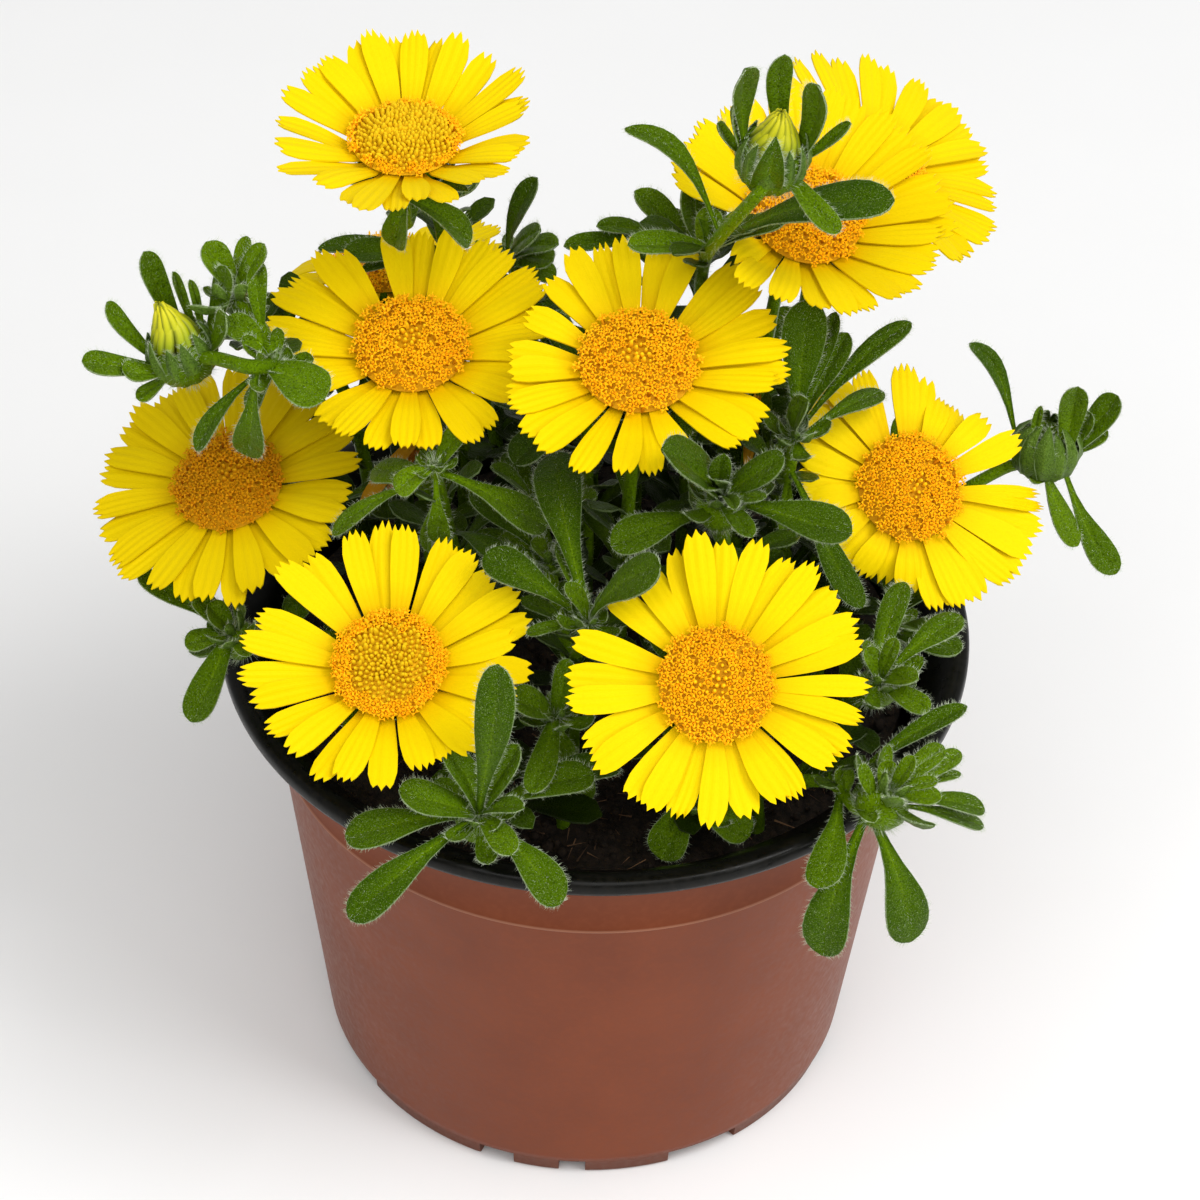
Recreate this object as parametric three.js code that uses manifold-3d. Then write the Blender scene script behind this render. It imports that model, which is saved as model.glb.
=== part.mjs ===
// A gold coin plant in a two-colour nursery pot.
// Millimetres, +Z up. The origin is the middle of the pot's centre foot, and -Y is the front.
import * as THREE from 'three';
import { mergeVertices } from 'three/addons/utils/BufferGeometryUtils.js';
import Module from 'manifold-3d';

const wasm = await Module();
wasm.setup();

// Driving dimensions
const RIM_RADIUS = 60;
const POT_HEIGHT = 85.4;
const WALL = 1;
const GAP = 0.3;
const SOIL_TOP = 76;
const STEM_RADIUS = 1.1;
const STEM_SIDES = 4;
const STEM_STEP = 12;
const LEAF_DEPTH = 1.1;
const RAY_HALF_WIDTH = 2.15;
const RAY_DEPTH = 0.75;
const RAY_LAYER = 0.85;
const SEED = 7;

// Levels and radii of the pot, from the driving dimensions
const FOOT_RADIUS = RIM_RADIUS - 16.9;
const WALL_FOOT_RADIUS = RIM_RADIUS - 15.7;
const COLLAR_RADIUS = RIM_RADIUS - 8.65;
const COLLAR_STEP = 0.5;
const COLLAR_LEVEL = POT_HEIGHT - 19.2;
const LIP_LEVEL = POT_HEIGHT - 2.9;
const LIP_NECK_RADIUS = RIM_RADIUS - 6.2;
const FLOOR_UNDER = 3.2;
const FLOOR_TOP = FLOOR_UNDER + 1.2;
const FOOT_RING_WIDTH = 2.6;
const CENTRE_FOOT_RADIUS = 7;
const POT_SEGMENTS = 28;
const SOIL_RADIUS = COLLAR_RADIUS - WALL - GAP;
const STEM_BOTTOM = SOIL_TOP - 6;

// The photograph's viewpoint, fitted to the pot: millimetres, degrees and pixels of its 1200 x 1200 frame
const VIEW_DISTANCE = 646;
const VIEW_ELEVATION = 41.9;
const VIEW_ROLL = 1.72;
const VIEW_FOCAL_PIXELS = 4030;
const VIEW_CENTRE = [595, 620];
const VIEW_AIM_LEVEL = 84.6;

const radians = THREE.MathUtils.degToRad;
const vec = (x, y, z) => new THREE.Vector3(x, y, z);
const UP = vec(0, 0, 1);
const RIGHT = vec(1, 0, 0);
const viewForward = vec(0, Math.cos(radians(VIEW_ELEVATION)), -Math.sin(radians(VIEW_ELEVATION)));
const viewUp = vec(0, Math.sin(radians(VIEW_ELEVATION)), Math.cos(radians(VIEW_ELEVATION)));
const eye = vec(0, 0, VIEW_AIM_LEVEL).addScaledVector(viewForward, -VIEW_DISTANCE);

// The point at a height that the photograph shows at a pixel
function seen(pixelX, pixelY, high) {
  const across = pixelX - VIEW_CENTRE[0];
  const down = pixelY - VIEW_CENTRE[1];
  const roll = radians(VIEW_ROLL);
  const u = (across * Math.cos(roll) + down * Math.sin(roll)) / VIEW_FOCAL_PIXELS;
  const v = (down * Math.cos(roll) - across * Math.sin(roll)) / VIEW_FOCAL_PIXELS;
  const ray = viewForward.clone().addScaledVector(RIGHT, u).addScaledVector(viewUp, -v);
  return eye.clone().addScaledVector(ray, (high - eye.z) / ray.z);
}

const pixelsPerMillimetre = (point) => VIEW_FOCAL_PIXELS / point.clone().sub(eye).dot(viewForward);

// Where a stem leaves the soil
const foot = (x, y, top = SOIL_TOP + 12) => [vec(x, y, STEM_BOTTOM), vec(x, y, SOIL_TOP + 2), vec(x, y, top)];

// The open heads. Each has its disc's centre pixel and height, the compass angle it faces and its lean
// from straight up, the angle its rays rise by, and its rays as [angle, reach, drop at the tip].
const BLOOMS = [
  {
    name: 'front_right', centre: [716, 684], high: 118, faces: -88, lean: 43, cup: 10, disc: 8.7,
    rays: [[1, 22.8], [16, 22.5], [27, 23], [38.5, 22.6], [50.5, 23], [62, 21.6], [75, 22.4], [87, 21.3],
      [99.5, 22.8], [110, 21, 2], [124, 21, 5], [140, 21.4, 5], [163.5, 22.2], [178.5, 22.2], [190.5, 22.2],
      [205, 21.6], [215.5, 22], [234.5, 21.2], [243.5, 21.1], [256.5, 20.6], [271.5, 21.3], [285, 20.3],
      [299, 20], [310, 20.7], [328, 21], [338, 22], [350, 22.2]],
    foot: foot(14, -32),
    stem: [],
    leaves: [],
  },
  {
    name: 'front_left', centre: [388, 663], high: 112, faces: -95, lean: 25, cup: 20.6, disc: 8.5,
    rays: [[8.5, 19.5], [16.5, 22.2], [29, 22], [43, 20.4], [55.5, 21], [64, 21.4], [82.5, 21.2], [95, 22.2],
      [108.5, 21.2], [127, 20.7], [138, 22], [160, 21], [175, 22], [189, 22.3], [200, 21.4], [216.5, 21.2],
      [228, 21], [246, 22], [256, 20.8], [270.5, 21.2], [289.5, 19], [301, 18.4], [312, 20.4], [328, 19.3],
      [343, 20.4], [356, 22]],
    foot: foot(-22, -30),
    stem: [],
    leaves: [],
  },
  {
    name: 'left_middle', centre: [411, 342], high: 140, faces: -95, lean: 16, cup: 17.8, disc: 8.9,
    rays: [[5, 21], [14, 21.6], [23, 22.2], [34.5, 22.7], [49, 21.8], [58, 21.8], [71, 21], [88.5, 20.6],
      [100, 20.5], [129.5, 20.3], [138.5, 21.4], [149.5, 21.6], [160.5, 22.7], [175, 22.4], [186, 22.4],
      [196, 20.5], [212, 19.6], [232, 20.4], [244.5, 21.2], [259, 21.5], [270.5, 21.3], [281.5, 21],
      [297.5, 23.2], [309.5, 21], [324, 20], [339, 19.5], [352, 20]],
    foot: foot(-26, 2),
    stem: [],
    leaves: [],
  },
  {
    name: 'centre', centre: [638, 359], high: 146, faces: -90, lean: 18, cup: 14.7, disc: 9.2,
    rays: [[5, 22.7], [20.5, 22], [34, 22.4], [48, 22.6], [69, 21.4], [81, 21.6], [96.5, 21.4], [106, 21],
      [121, 21.2], [134, 20], [157, 18.6], [177, 19.6], [190, 19.6], [200, 20.6], [209, 21.6], [219, 22.4],
      [232.5, 22.8], [248.5, 22.6], [267, 21.7], [277, 20.8], [290, 20.6], [313, 22], [323, 22.5],
      [333.5, 22], [345.5, 21.4], [354.5, 22.8]],
    foot: foot(4, 0),
    stem: [],
    leaves: [],
  },
  {
    name: 'left', centre: [227, 480], high: 118, faces: -120, lean: 20, cup: 5.2, disc: 8.8,
    rays: [[6, 21], [21, 21], [34, 20.6], [52, 21], [64, 21.4], [76, 21.4], [89, 21.4], [107, 22.4],
      [115, 21], [126, 21.6], [137, 22], [147, 21.6], [160, 21.2], [170, 21], [189, 21.4], [200, 21.4],
      [215, 22], [227, 22.4], [242.5, 21.4], [252.5, 21.6], [264.5, 21.5], [277, 22.4], [287, 21.6],
      [300, 21], [312, 21], [325, 20.5], [337, 20.5], [351, 19.8]],
    foot: foot(-42, -4),
    stem: [],
    leaves: [],
  },
  {
    name: 'right', centre: [911, 487], high: 118, faces: -70, lean: 40, cup: 5.2, disc: 8.5,
    rays: [[3, 21], [26, 20.6], [44.5, 18.4, 3], [57, 17, 4], [70, 16.6, 4], [83, 18.6, 2], [93, 19.8],
      [117, 20], [129, 21.8], [138.5, 22], [148, 20.6], [158, 19], [168, 18.6], [178, 18, 1], [190, 17, 2],
      [201, 16.6, 2], [213, 16, 2], [227, 16, 3], [243, 15.6, 3], [256, 15, 3], [270, 16.4, 2], [285, 19.6],
      [295, 20.2], [307, 20.6], [319, 21.6], [328, 22], [337, 22], [347, 22.4], [356, 22]],
    foot: foot(36, -2),
    stem: [],
    leaves: [],
  },
  {
    name: 'top_left', centre: [405, 136], high: 172, faces: -90, lean: 4, cup: 24.8, disc: 8.2,
    rays: [[12, 18], [20, 19.2], [31, 20.4], [50, 20], [66, 20.6], [76, 20.6], [87.5, 20.6], [96, 20],
      [106, 20.4], [117, 20], [131, 19], [144, 19.2], [164, 19.2], [184, 19], [204, 20], [219, 22.4],
      [235, 19.6], [249.5, 21], [259, 24.6], [268.5, 21], [280, 18.8], [292, 19], [309, 18.4], [322, 19],
      [336, 18.3], [349, 19]],
    foot: foot(-22, 24),
    stem: [vec(-24, 25, 130), vec(-28, 20, 156)],
    leaves: [[398, 190, 160, 394, 247, 151, 30], [445, 182, 161, 470, 245, 152, 29],
      [424, 222, 146, 480, 176, 158, 26], [398, 262, 138, 344, 252, 139, 28],
      [396, 272, 136, 318, 248, 137, 18], [398, 276, 135, 360, 271, 136, 12]],
  },
  {
    name: 'top_right', centre: [808, 212], high: 160, faces: -60, lean: 22, cup: 31, disc: 8.9,
    rays: [[5, 21], [18, 20.6], [31, 20.4], [44, 20.4], [57, 20.4], [70, 20.4], [83, 20.2], [96, 20],
      [109, 20], [124, 19.4], [139, 19.6], [152, 21], [165, 21.2], [176, 22.4], [184, 22.6], [203, 13],
      [224, 16, 2], [237, 21], [255.5, 21], [273, 20.2], [283, 22], [293, 21], [307, 21.5], [317, 21.6],
      [327, 21], [337, 20.6], [347, 20.2], [355, 22]],
    foot: foot(22, 10),
    stem: [],
    leaves: [],
  },
  {
    name: 'top_right_back', centre: [882, 160], high: 150, faces: -10, lean: 30, cup: 13, disc: 8.6,
    rays: [[12, 21.4], [24, 22], [35, 23.4], [44, 24], [53, 24], [62, 24], [71, 23.4], [85, 22.6],
      [97, 22.4], [112, 21.4], [128, 21.6], [143, 21.4], [158, 22], [173, 21], [188, 21], [203, 21],
      [218, 21], [233, 21], [248, 21], [263, 21], [278, 21.6], [292, 21.4], [306, 21.6], [319, 21],
      [332, 21], [346, 21.4], [359, 21]],
    foot: foot(30, 24),
    stem: [],
    leaves: [],
  },
  {
    name: 'back_left', centre: [385, 262], high: 128, faces: 95, lean: 8, cup: 10, disc: 8.4,
    rays: [[6, 20.6], [20, 21], [33, 21.4], [45, 21], [60, 18.4, 4], [90, 17.4, 6], [132, 17.2, 6],
      [170, 17, 5], [205, 18, 3], [232, 19], [260, 20], [284, 20.4], [300, 20.6], [338, 20.6]],
    foot: foot(-32, 32),
    stem: [],
    leaves: [],
  },
];

// The leafy stems. A stem is a list of points. A leaf is [root x, root y, root height, tip x, tip y,
// tip height, width]: pixels of the photograph for x, y and the width, millimetres for the heights.
const SHOOTS = [
  {
    name: 'left_bud',
    stems: [
      [...foot(-36, 16), vec(-42, 16, 120), vec(-53.5, 5, 135), seen(276, 365, 146)],
      [seen(276, 365, 146), seen(251, 367, 148), seen(213, 358, 146), seen(190, 360, 143)],
      [seen(276, 365, 146), seen(262, 330, 149), seen(236, 296, 152)],
    ],
    leaves: [
      [167, 310, 150, 144, 252, 160, 25], [182, 310, 150, 173, 272, 158, 11],
      [156, 330, 148, 107, 302, 152, 18], [160, 345, 146, 82, 361, 146, 25],
      [163, 355, 145, 122, 369, 144, 21], [175, 371, 141, 136, 398, 137, 16],
      [202, 333, 148, 225, 314, 153, 20], [200, 318, 149, 225, 266, 159, 21],
      [190, 310, 151, 190, 280, 158, 8],
      [232, 298, 151, 206, 242, 160, 28], [236, 298, 152, 264, 244, 161, 21],
      [238, 298, 152, 247, 236, 159, 16], [264, 335, 148, 259, 261, 158, 21],
      [268, 362, 146, 223, 321, 150, 28], [280, 369, 147, 324, 400, 146, 46],
      [255, 369, 147, 247, 456, 131, 34], [272, 370, 145, 247, 411, 138, 21],
      [268, 375, 143, 196, 451, 132, 19],
    ],
    bud: { centre: [184, 356], high: 143, apex: [158, 302], apexHigh: 153, rays: true, stem: 1 },
  },
  {
    name: 'top_bud',
    stems: [
      [...foot(14, 22), vec(15, 22, 128), seen(703, 266, 149), seen(722, 234, 167), seen(764, 186, 180)],
    ],
    leaves: [
      [783, 130, 186, 785, 55, 198, 25], [760, 142, 185, 747, 69, 201, 22],
      [755, 142, 185, 736, 103, 194, 9], [755, 150, 183, 718, 123, 188, 14],
      [797, 140, 185, 817, 85, 197, 21], [796, 152, 183, 851, 123, 188, 14],
      [776, 168, 187, 766, 138, 201, 20],
      [744, 208, 168, 625, 131, 178, 20], [768, 187, 176, 839, 233, 172, 23],
      [740, 240, 160, 894, 200, 176, 37], [726, 248, 157, 786, 221, 166, 20],
      [708, 262, 148, 689, 181, 166, 23], [719, 248, 154, 712, 207, 163, 22],
      [728, 236, 158, 738, 212, 164, 10], [708, 254, 158, 628, 245, 162, 27],
      [700, 262, 144, 635, 191, 158, 26],
    ],
    bud: { centre: [771, 163], high: 181, apex: [782, 109], apexHigh: 191, rays: true },
  },
  {
    name: 'right_bud',
    stems: [
      [...foot(38, 10, 84), vec(50, 12, 96), seen(985, 478, 104), seen(1018, 464, 106), seen(1040, 468, 106)],
    ],
    leaves: [
      [1045, 435, 112, 1041, 406, 118, 9], [1055, 436, 112, 1078, 387, 123, 25],
      [1066, 444, 110, 1118, 396, 119, 27], [1064, 442, 110, 1091, 413, 116, 18],
      [1064, 456, 107, 1108, 431, 111, 14], [1034, 465, 106, 1011, 484, 102, 20],
      [1016, 462, 107, 970, 343, 126, 17], [1042, 484, 103, 1078, 546, 95, 25],
      [1060, 500, 100, 1116, 574, 90, 25],
    ],
    bud: { centre: [1045, 454], high: 108, apex: [1052, 412], apexHigh: 116, rays: false },
  },
  {
    name: 'back_middle',
    stems: [[...foot(-8, 32), vec(-10, 33, 120), seen(508, 262, 132)]],
    leaves: [
      [506, 250, 134, 537, 178, 150, 20], [512, 262, 132, 553, 260, 136, 26],
      [512, 252, 134, 540, 229, 142, 18], [514, 262, 133, 558, 244, 140, 20],
      [512, 272, 130, 556, 276, 131, 22],
    ],
  },
  {
    name: 'back_right',
    stems: [[...foot(6, 34), vec(8, 33, 120), seen(668, 246, 138)]],
    leaves: [
      [655, 250, 138, 564, 246, 143, 18], [660, 240, 139, 597, 226, 146, 16],
      [670, 238, 140, 700, 218, 146, 20],
    ],
  },
  {
    name: 'centre_left',
    stems: [[...foot(-18, -12), vec(-22, -13, 110), seen(434, 465, 131)]],
    leaves: [
      [436, 462, 130, 464, 425, 136, 21], [430, 462, 132, 392, 497, 127, 21],
      [424, 468, 128, 343, 528, 120, 16], [438, 468, 130, 441, 543, 116, 23],
      [432, 470, 126, 427, 551, 112, 14], [446, 460, 130, 547, 527, 120, 36],
      [426, 468, 126, 372, 470, 122, 28],
    ],
  },
  {
    name: 'middle',
    stems: [
      [...foot(-3, -24), vec(-3, -28, 100), seen(588, 622, 120)],
      [vec(-3, -27, 96), seen(548, 562, 112)],
    ],
    leaves: [
      [590, 608, 121, 556, 452, 129, 48], [594, 610, 124, 660, 566, 135, 38],
      [572, 620, 121, 485, 553, 125, 36], [573, 631, 119, 526, 633, 118, 13],
      [583, 620, 122, 566, 583, 127, 18], [575, 612, 121, 558, 543, 124, 15],
      [540, 556, 114, 470, 490, 122, 28], [548, 556, 112, 500, 536, 113, 24],
      [540, 566, 113, 477, 553, 116, 15], [552, 555, 113, 531, 541, 117, 14],
    ],
  },
  {
    name: 'centre_rosette',
    stems: [[...foot(20, -16), vec(20, -20, 110), seen(719, 500, 133)]],
    leaves: [
      [708, 489, 136, 662, 449, 147, 36], [722, 486, 136, 724, 454, 143, 23],
      [730, 488, 136, 784, 456, 142, 31], [740, 504, 135, 852, 533, 132, 38],
      [724, 512, 134, 752, 537, 134, 21], [736, 500, 136, 766, 497, 138, 14],
      [700, 500, 131, 611, 546, 129, 36], [714, 500, 137, 700, 488, 141, 14],
      [722, 504, 137, 735, 510, 139, 12], [716, 494, 138, 716, 480, 142, 12],
    ],
  },
  {
    name: 'right_middle',
    stems: [[...foot(31, 6), vec(26, 12, 112), seen(786, 480, 120), seen(795, 436, 131)]],
    leaves: [
      [790, 440, 132, 808, 400, 140, 25], [800, 428, 133, 808, 300, 152, 46],
      [808, 420, 131, 848, 333, 146, 28], [806, 415, 132, 836, 312, 148, 20],
      [812, 410, 132, 911, 322, 144, 22], [806, 425, 130, 884, 392, 130, 20],
      [795, 470, 124, 862, 608, 112, 30], [788, 490, 120, 790, 546, 114, 18],
      [785, 470, 124, 776, 444, 128, 14],
    ],
  },
  {
    name: 'left_low',
    stems: [[...foot(-40, -16, 84), vec(-47, -18, 92), seen(232, 634, 97)]],
    leaves: [
      [223, 650, 97, 191, 722, 88, 34], [222, 636, 98, 185, 645, 97, 22],
      [228, 624, 98, 208, 604, 103, 20], [238, 640, 98, 250, 656, 98, 16],
      [226, 622, 97, 194, 592, 104, 20], [224, 612, 97, 138, 572, 106, 22],
    ],
  },
  {
    name: 'front_rosette',
    stems: [[...foot(-14, -40, 84), seen(479, 815, 94)]],
    leaves: [
      [488, 784, 101, 498, 665, 125, 42], [492, 795, 99, 519, 745, 108, 27],
      [505, 806, 97, 594, 774, 99, 34], [505, 812, 94, 620, 766, 93, 28],
      [505, 822, 95, 561, 904, 87, 38], [492, 824, 97, 511, 855, 95, 29],
      [496, 812, 99, 524, 808, 101, 18], [455, 830, 95, 349, 919, 84, 38],
      [450, 812, 97, 345, 837, 91, 36], [460, 804, 98, 399, 790, 101, 33],
      [468, 796, 99, 445, 750, 107, 26],
    ],
  },
  {
    name: 'low_middle',
    stems: [[...foot(-4, -38), seen(555, 716, 101)]],
    leaves: [
      [551, 722, 101, 530, 793, 99, 29], [548, 715, 102, 510, 697, 107, 28],
      [556, 712, 103, 569, 659, 112, 25], [558, 725, 98, 566, 762, 91, 20],
      [560, 740, 92, 585, 806, 82, 28],
    ],
  },
  {
    name: 'right_small',
    stems: [[...foot(38, -24, 86), seen(879, 682, 102)]],
    leaves: [
      [886, 674, 104, 896, 638, 111, 17], [886, 684, 104, 918, 679, 107, 20],
      [884, 694, 102, 930, 710, 102, 22], [873, 672, 104, 866, 648, 109, 18],
      [890, 674, 104, 962, 616, 107, 27], [876, 664, 101, 905, 582, 108, 26],
    ],
  },
  {
    name: 'right_cluster',
    stems: [
      [...foot(26, -38, 84), seen(815, 790, 92), seen(850, 822, 94), seen(892, 792, 97)],
    ],
    leaves: [
      [892, 780, 96, 943, 745, 100, 22], [905, 785, 96, 961, 752, 99, 20],
      [905, 790, 95, 961, 773, 96, 12], [898, 780, 97, 905, 757, 103, 18],
      [890, 796, 94, 985, 810, 91, 20], [886, 800, 92, 984, 826, 87, 16],
      [858, 776, 95, 967, 706, 106, 20], [860, 822, 95, 823, 956, 72, 46],
      [862, 826, 95, 911, 942, 74, 43], [830, 805, 91, 817, 888, 88, 38],
      [868, 805, 94, 860, 822, 96, 18], [885, 790, 95, 890, 760, 101, 20],
    ],
  },
  {
    name: 'front_low',
    stems: [[...foot(12, -40, 80), seen(690, 800, 84)]],
    leaves: [
      [686, 800, 84, 662, 860, 78, 40], [700, 800, 85, 750, 836, 81, 36],
      [694, 790, 86, 740, 780, 90, 30], [684, 794, 85, 640, 780, 88, 26],
    ],
  },
];

// Extra leafy stems that fill the plant where the photograph doesn't show it, mostly behind.
// Each is [compass angle, distance from the middle, height, leaves].
const FILLERS = [
  [58, 48, 106, 7], [92, 52, 98, 6], [118, 46, 108, 7], [166, 50, 100, 6], [18, 50, 102, 6],
  [98, 17, 120, 6], [-12, 49, 92, 5], [140, 12, 99, 4],
];

// A seeded draw between 0 and 1
let drawState = SEED;
function draw() {
  drawState = (drawState * 16807) % 2147483647;
  return drawState / 2147483647;
}
const between = (low, high) => low + (high - low) * draw();

// Solids
function solidOf(geometry) {
  const bare = new THREE.BufferGeometry();
  bare.setAttribute('position', geometry.getAttribute('position'));
  bare.setIndex(geometry.index);
  const welded = mergeVertices(bare, 1e-4);
  return new wasm.Manifold(new wasm.Mesh({
    numProp: 3,
    vertProperties: new Float32Array(welded.getAttribute('position').array),
    triVerts: new Uint32Array(welded.index.array),
  }));
}

function solidFrom(points, triangles) {
  const geometry = new THREE.BufferGeometry().setFromPoints(points);
  geometry.setIndex(triangles.flat());
  return solidOf(geometry);
}

// Joins in pairs, so that no step works on one ever larger solid
function joined(solids) {
  let row = solids;
  while (row.length > 1) {
    const next = [];
    for (let i = 0; i < row.length; i += 2) {
      next.push(i + 1 < row.length ? row[i].add(row[i + 1]) : row[i]);
    }
    row = next;
  }
  return row[0];
}

// The solid's largest closed body: loose scraps and sealed hollows are left out
function mainBody(solid) {
  const mesh = solid.getMesh();
  const parent = Array.from({ length: mesh.vertProperties.length / 3 }, (_, i) => i);
  const rootOf = (i) => {
    let top = i;
    while (parent[top] !== top) top = parent[top] = parent[parent[top]];
    return top;
  };
  for (let t = 0; t < mesh.triVerts.length; t += 3) {
    parent[rootOf(mesh.triVerts[t])] = rootOf(mesh.triVerts[t + 1]);
    parent[rootOf(mesh.triVerts[t + 1])] = rootOf(mesh.triVerts[t + 2]);
  }
  const corner = (i) => vec(...mesh.vertProperties.slice(3 * i, 3 * i + 3));
  const bodies = new Map();
  for (let t = 0; t < mesh.triVerts.length; t += 3) {
    const body = rootOf(mesh.triVerts[t]);
    const entry = bodies.get(body) ?? { volume: 0, triangles: [] };
    const [a, b, c] = [0, 1, 2].map((k) => corner(mesh.triVerts[t + k]));
    entry.volume += a.dot(b.clone().cross(c)) / 6;
    entry.triangles.push(mesh.triVerts[t], mesh.triVerts[t + 1], mesh.triVerts[t + 2]);
    bodies.set(body, entry);
  }
  const largest = [...bodies.values()].sort((a, b) => b.volume - a.volume)[0];
  const geometry = new THREE.BufferGeometry();
  geometry.setAttribute('position', new THREE.BufferAttribute(mesh.vertProperties, 3));
  geometry.setIndex(largest.triangles);
  return mergeVertices(geometry.toNonIndexed(), 1e-4);
}

// A stem follows a smooth curve in straight steps
const stemSteps = (curve) => Math.max(2, Math.round(curve.getLength() / STEM_STEP));

function tube(points, radius) {
  const path = new THREE.CatmullRomCurve3(points);
  const section = new THREE.Shape();
  for (let i = 0; i < STEM_SIDES; i += 1) {
    const angle = (2 * Math.PI * i) / STEM_SIDES;
    section[i ? 'lineTo' : 'moveTo'](radius * Math.cos(angle), radius * Math.sin(angle));
  }
  section.closePath();
  const settings = { steps: stemSteps(path), bevelEnabled: false, extrudePath: path };
  const geometry = new THREE.ExtrudeGeometry(section, settings);
  geometry.deleteAttribute('normal');
  geometry.deleteAttribute('uv');
  return solidOf(mergeVertices(geometry, 1e-4));
}

function turned(profile, segments) {
  const geometry = new THREE.LatheGeometry(profile.map(([r, z]) => new THREE.Vector2(r, z)), segments);
  geometry.deleteAttribute('normal');
  geometry.deleteAttribute('uv');
  geometry.rotateX(Math.PI / 2);
  return solidOf(mergeVertices(geometry, 1e-4));
}

// A solid built along +Z, moved to a point and turned to an axis
function stoodAt(solid, point, axis) {
  const turn = new THREE.Quaternion().setFromUnitVectors(UP, axis.clone().normalize());
  const matrix = new THREE.Matrix4().compose(point, turn, vec(1, 1, 1));
  return solid.transform(matrix.toArray());
}

// A blade is a row of three-cornered sections (left edge, right edge, keel) that closes at its tip
function bladeSections(sections) {
  const points = [];
  for (const { middle, side, up, half, depth } of sections) {
    points.push(middle.clone().addScaledVector(side, -half));
    points.push(middle.clone().addScaledVector(side, half));
    points.push(middle.clone().addScaledVector(up, -depth));
  }
  const triangles = [[0, 2, 1]];
  for (let i = 0; i + 1 < sections.length; i += 1) {
    const [left, right, keel] = [3 * i, 3 * i + 1, 3 * i + 2];
    const [nextLeft, nextRight, nextKeel] = [left + 3, right + 3, keel + 3];
    triangles.push([left, right, nextRight], [left, nextRight, nextLeft]);
    triangles.push([right, keel, nextKeel], [right, nextKeel, nextRight]);
    triangles.push([keel, left, nextLeft], [keel, nextLeft, nextKeel]);
  }
  return { points, triangles };
}

// A leaf's outline as [share of its length, share of its half width]
const LARGE_LEAF = [[0, 0.2], [0.4, 0.42], [0.7, 0.95], [0.92, 0.8]];
const SMALL_LEAF = [[0, 0.26], [0.5, 0.8], [0.86, 0.9]];
const BRACT = [[0, 0.6], [0.62, 1]];
const LEAF_BOW = 0.1;
const LARGE_LEAF_LENGTH = 14;

function leaf(root, tip, halfWidth, face, outline, bow = LEAF_BOW) {
  const along = tip.clone().sub(root);
  const length = along.length();
  const side = along.clone().cross(face).normalize();
  const up = side.clone().cross(along).normalize();
  const depth = Math.min(LEAF_DEPTH, 0.75 * halfWidth);
  const sections = outline.map(([share, width]) => ({
    middle: root.clone().addScaledVector(along, share)
      .addScaledVector(up, 4 * bow * length * share * (1 - share)),
    side,
    up,
    half: Math.max(halfWidth * width, 0.4),
    depth: Math.max(depth * Math.sqrt(width), 0.6),
  }));
  const { points, triangles } = bladeSections(sections);
  const last = points.length - 3;
  points.push(tip.clone());
  triangles.push([last, last + 1, last + 3], [last + 1, last + 2, last + 3], [last + 2, last, last + 3]);
  return solidFrom(points, triangles);
}

// The points of a shoot's stems where leaves can grow, close enough that two petioles just fit
const NODE_SPACING = 1.6;
const growthPoints = (paths) => paths.flatMap((path) => {
  const curve = new THREE.CatmullRomCurve3(path);
  const corners = curve.getSpacedPoints(stemSteps(curve));
  return corners.slice(1).flatMap((corner, i) => {
    const count = Math.max(1, Math.round(corner.distanceTo(corners[i]) / NODE_SPACING));
    return Array.from({ length: count }, (_, k) => corners[i].clone().lerp(corner, (k + 0.75) / count));
  });
});

// Takes the nearest point to a leaf's root out of the free ones
function takeNearest(free, point) {
  let best = 0;
  free.forEach((candidate, i) => {
    if (candidate.distanceTo(point) < free[best].distanceTo(point)) best = i;
  });
  return free.splice(best, 1)[0];
}

// A leaf whose root is seen at a bud grows from the side of the bud's cup
function onCupSide(root, bud) {
  if (!bud) return null;
  const middle = seen(...bud.centre, bud.high);
  const offset = root.clone().sub(middle);
  if (offset.length() > 2 * BUD_RADIUS) return null;
  const axis = seen(...bud.apex, bud.apexHigh).sub(middle).normalize();
  const level = THREE.MathUtils.clamp(offset.dot(axis), -0.5 * BUD_RADIUS, 0);
  offset.addScaledVector(axis, -offset.dot(axis)).setLength(0.78 * BUD_RADIUS);
  return middle.add(offset).addScaledVector(axis, level);
}

// A leaf as the photograph shows it. Its face looks between straight up and the viewer, and its real
// width is the seen one made up for its slant.
function seenLeaf(row, free, bud) {
  const [rootX, rootY, rootHigh, tipX, tipY, tipHigh, widePixels] = row;
  const root = seen(rootX, rootY, rootHigh);
  const tip = seen(tipX, tipY, tipHigh);
  const face = UP.clone().addScaledVector(viewForward, -0.7).normalize();
  const along = tip.clone().sub(root);
  const side = along.clone().cross(face).normalize();
  const alongSeen = new THREE.Vector2(along.dot(RIGHT), along.dot(viewUp)).normalize();
  const slant = Math.abs(alongSeen.x * side.dot(viewUp) - alongSeen.y * side.dot(RIGHT));
  const wide = widePixels / pixelsPerMillimetre(tip) / Math.max(slant, 0.62);
  const outline = along.length() > LARGE_LEAF_LENGTH ? LARGE_LEAF : SMALL_LEAF;
  const onCup = onCupSide(root, bud);
  return leaf(onCup ?? takeNearest(free, root), tip, wide / 2, face, outline, onCup ? 0 : LEAF_BOW);
}

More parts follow.
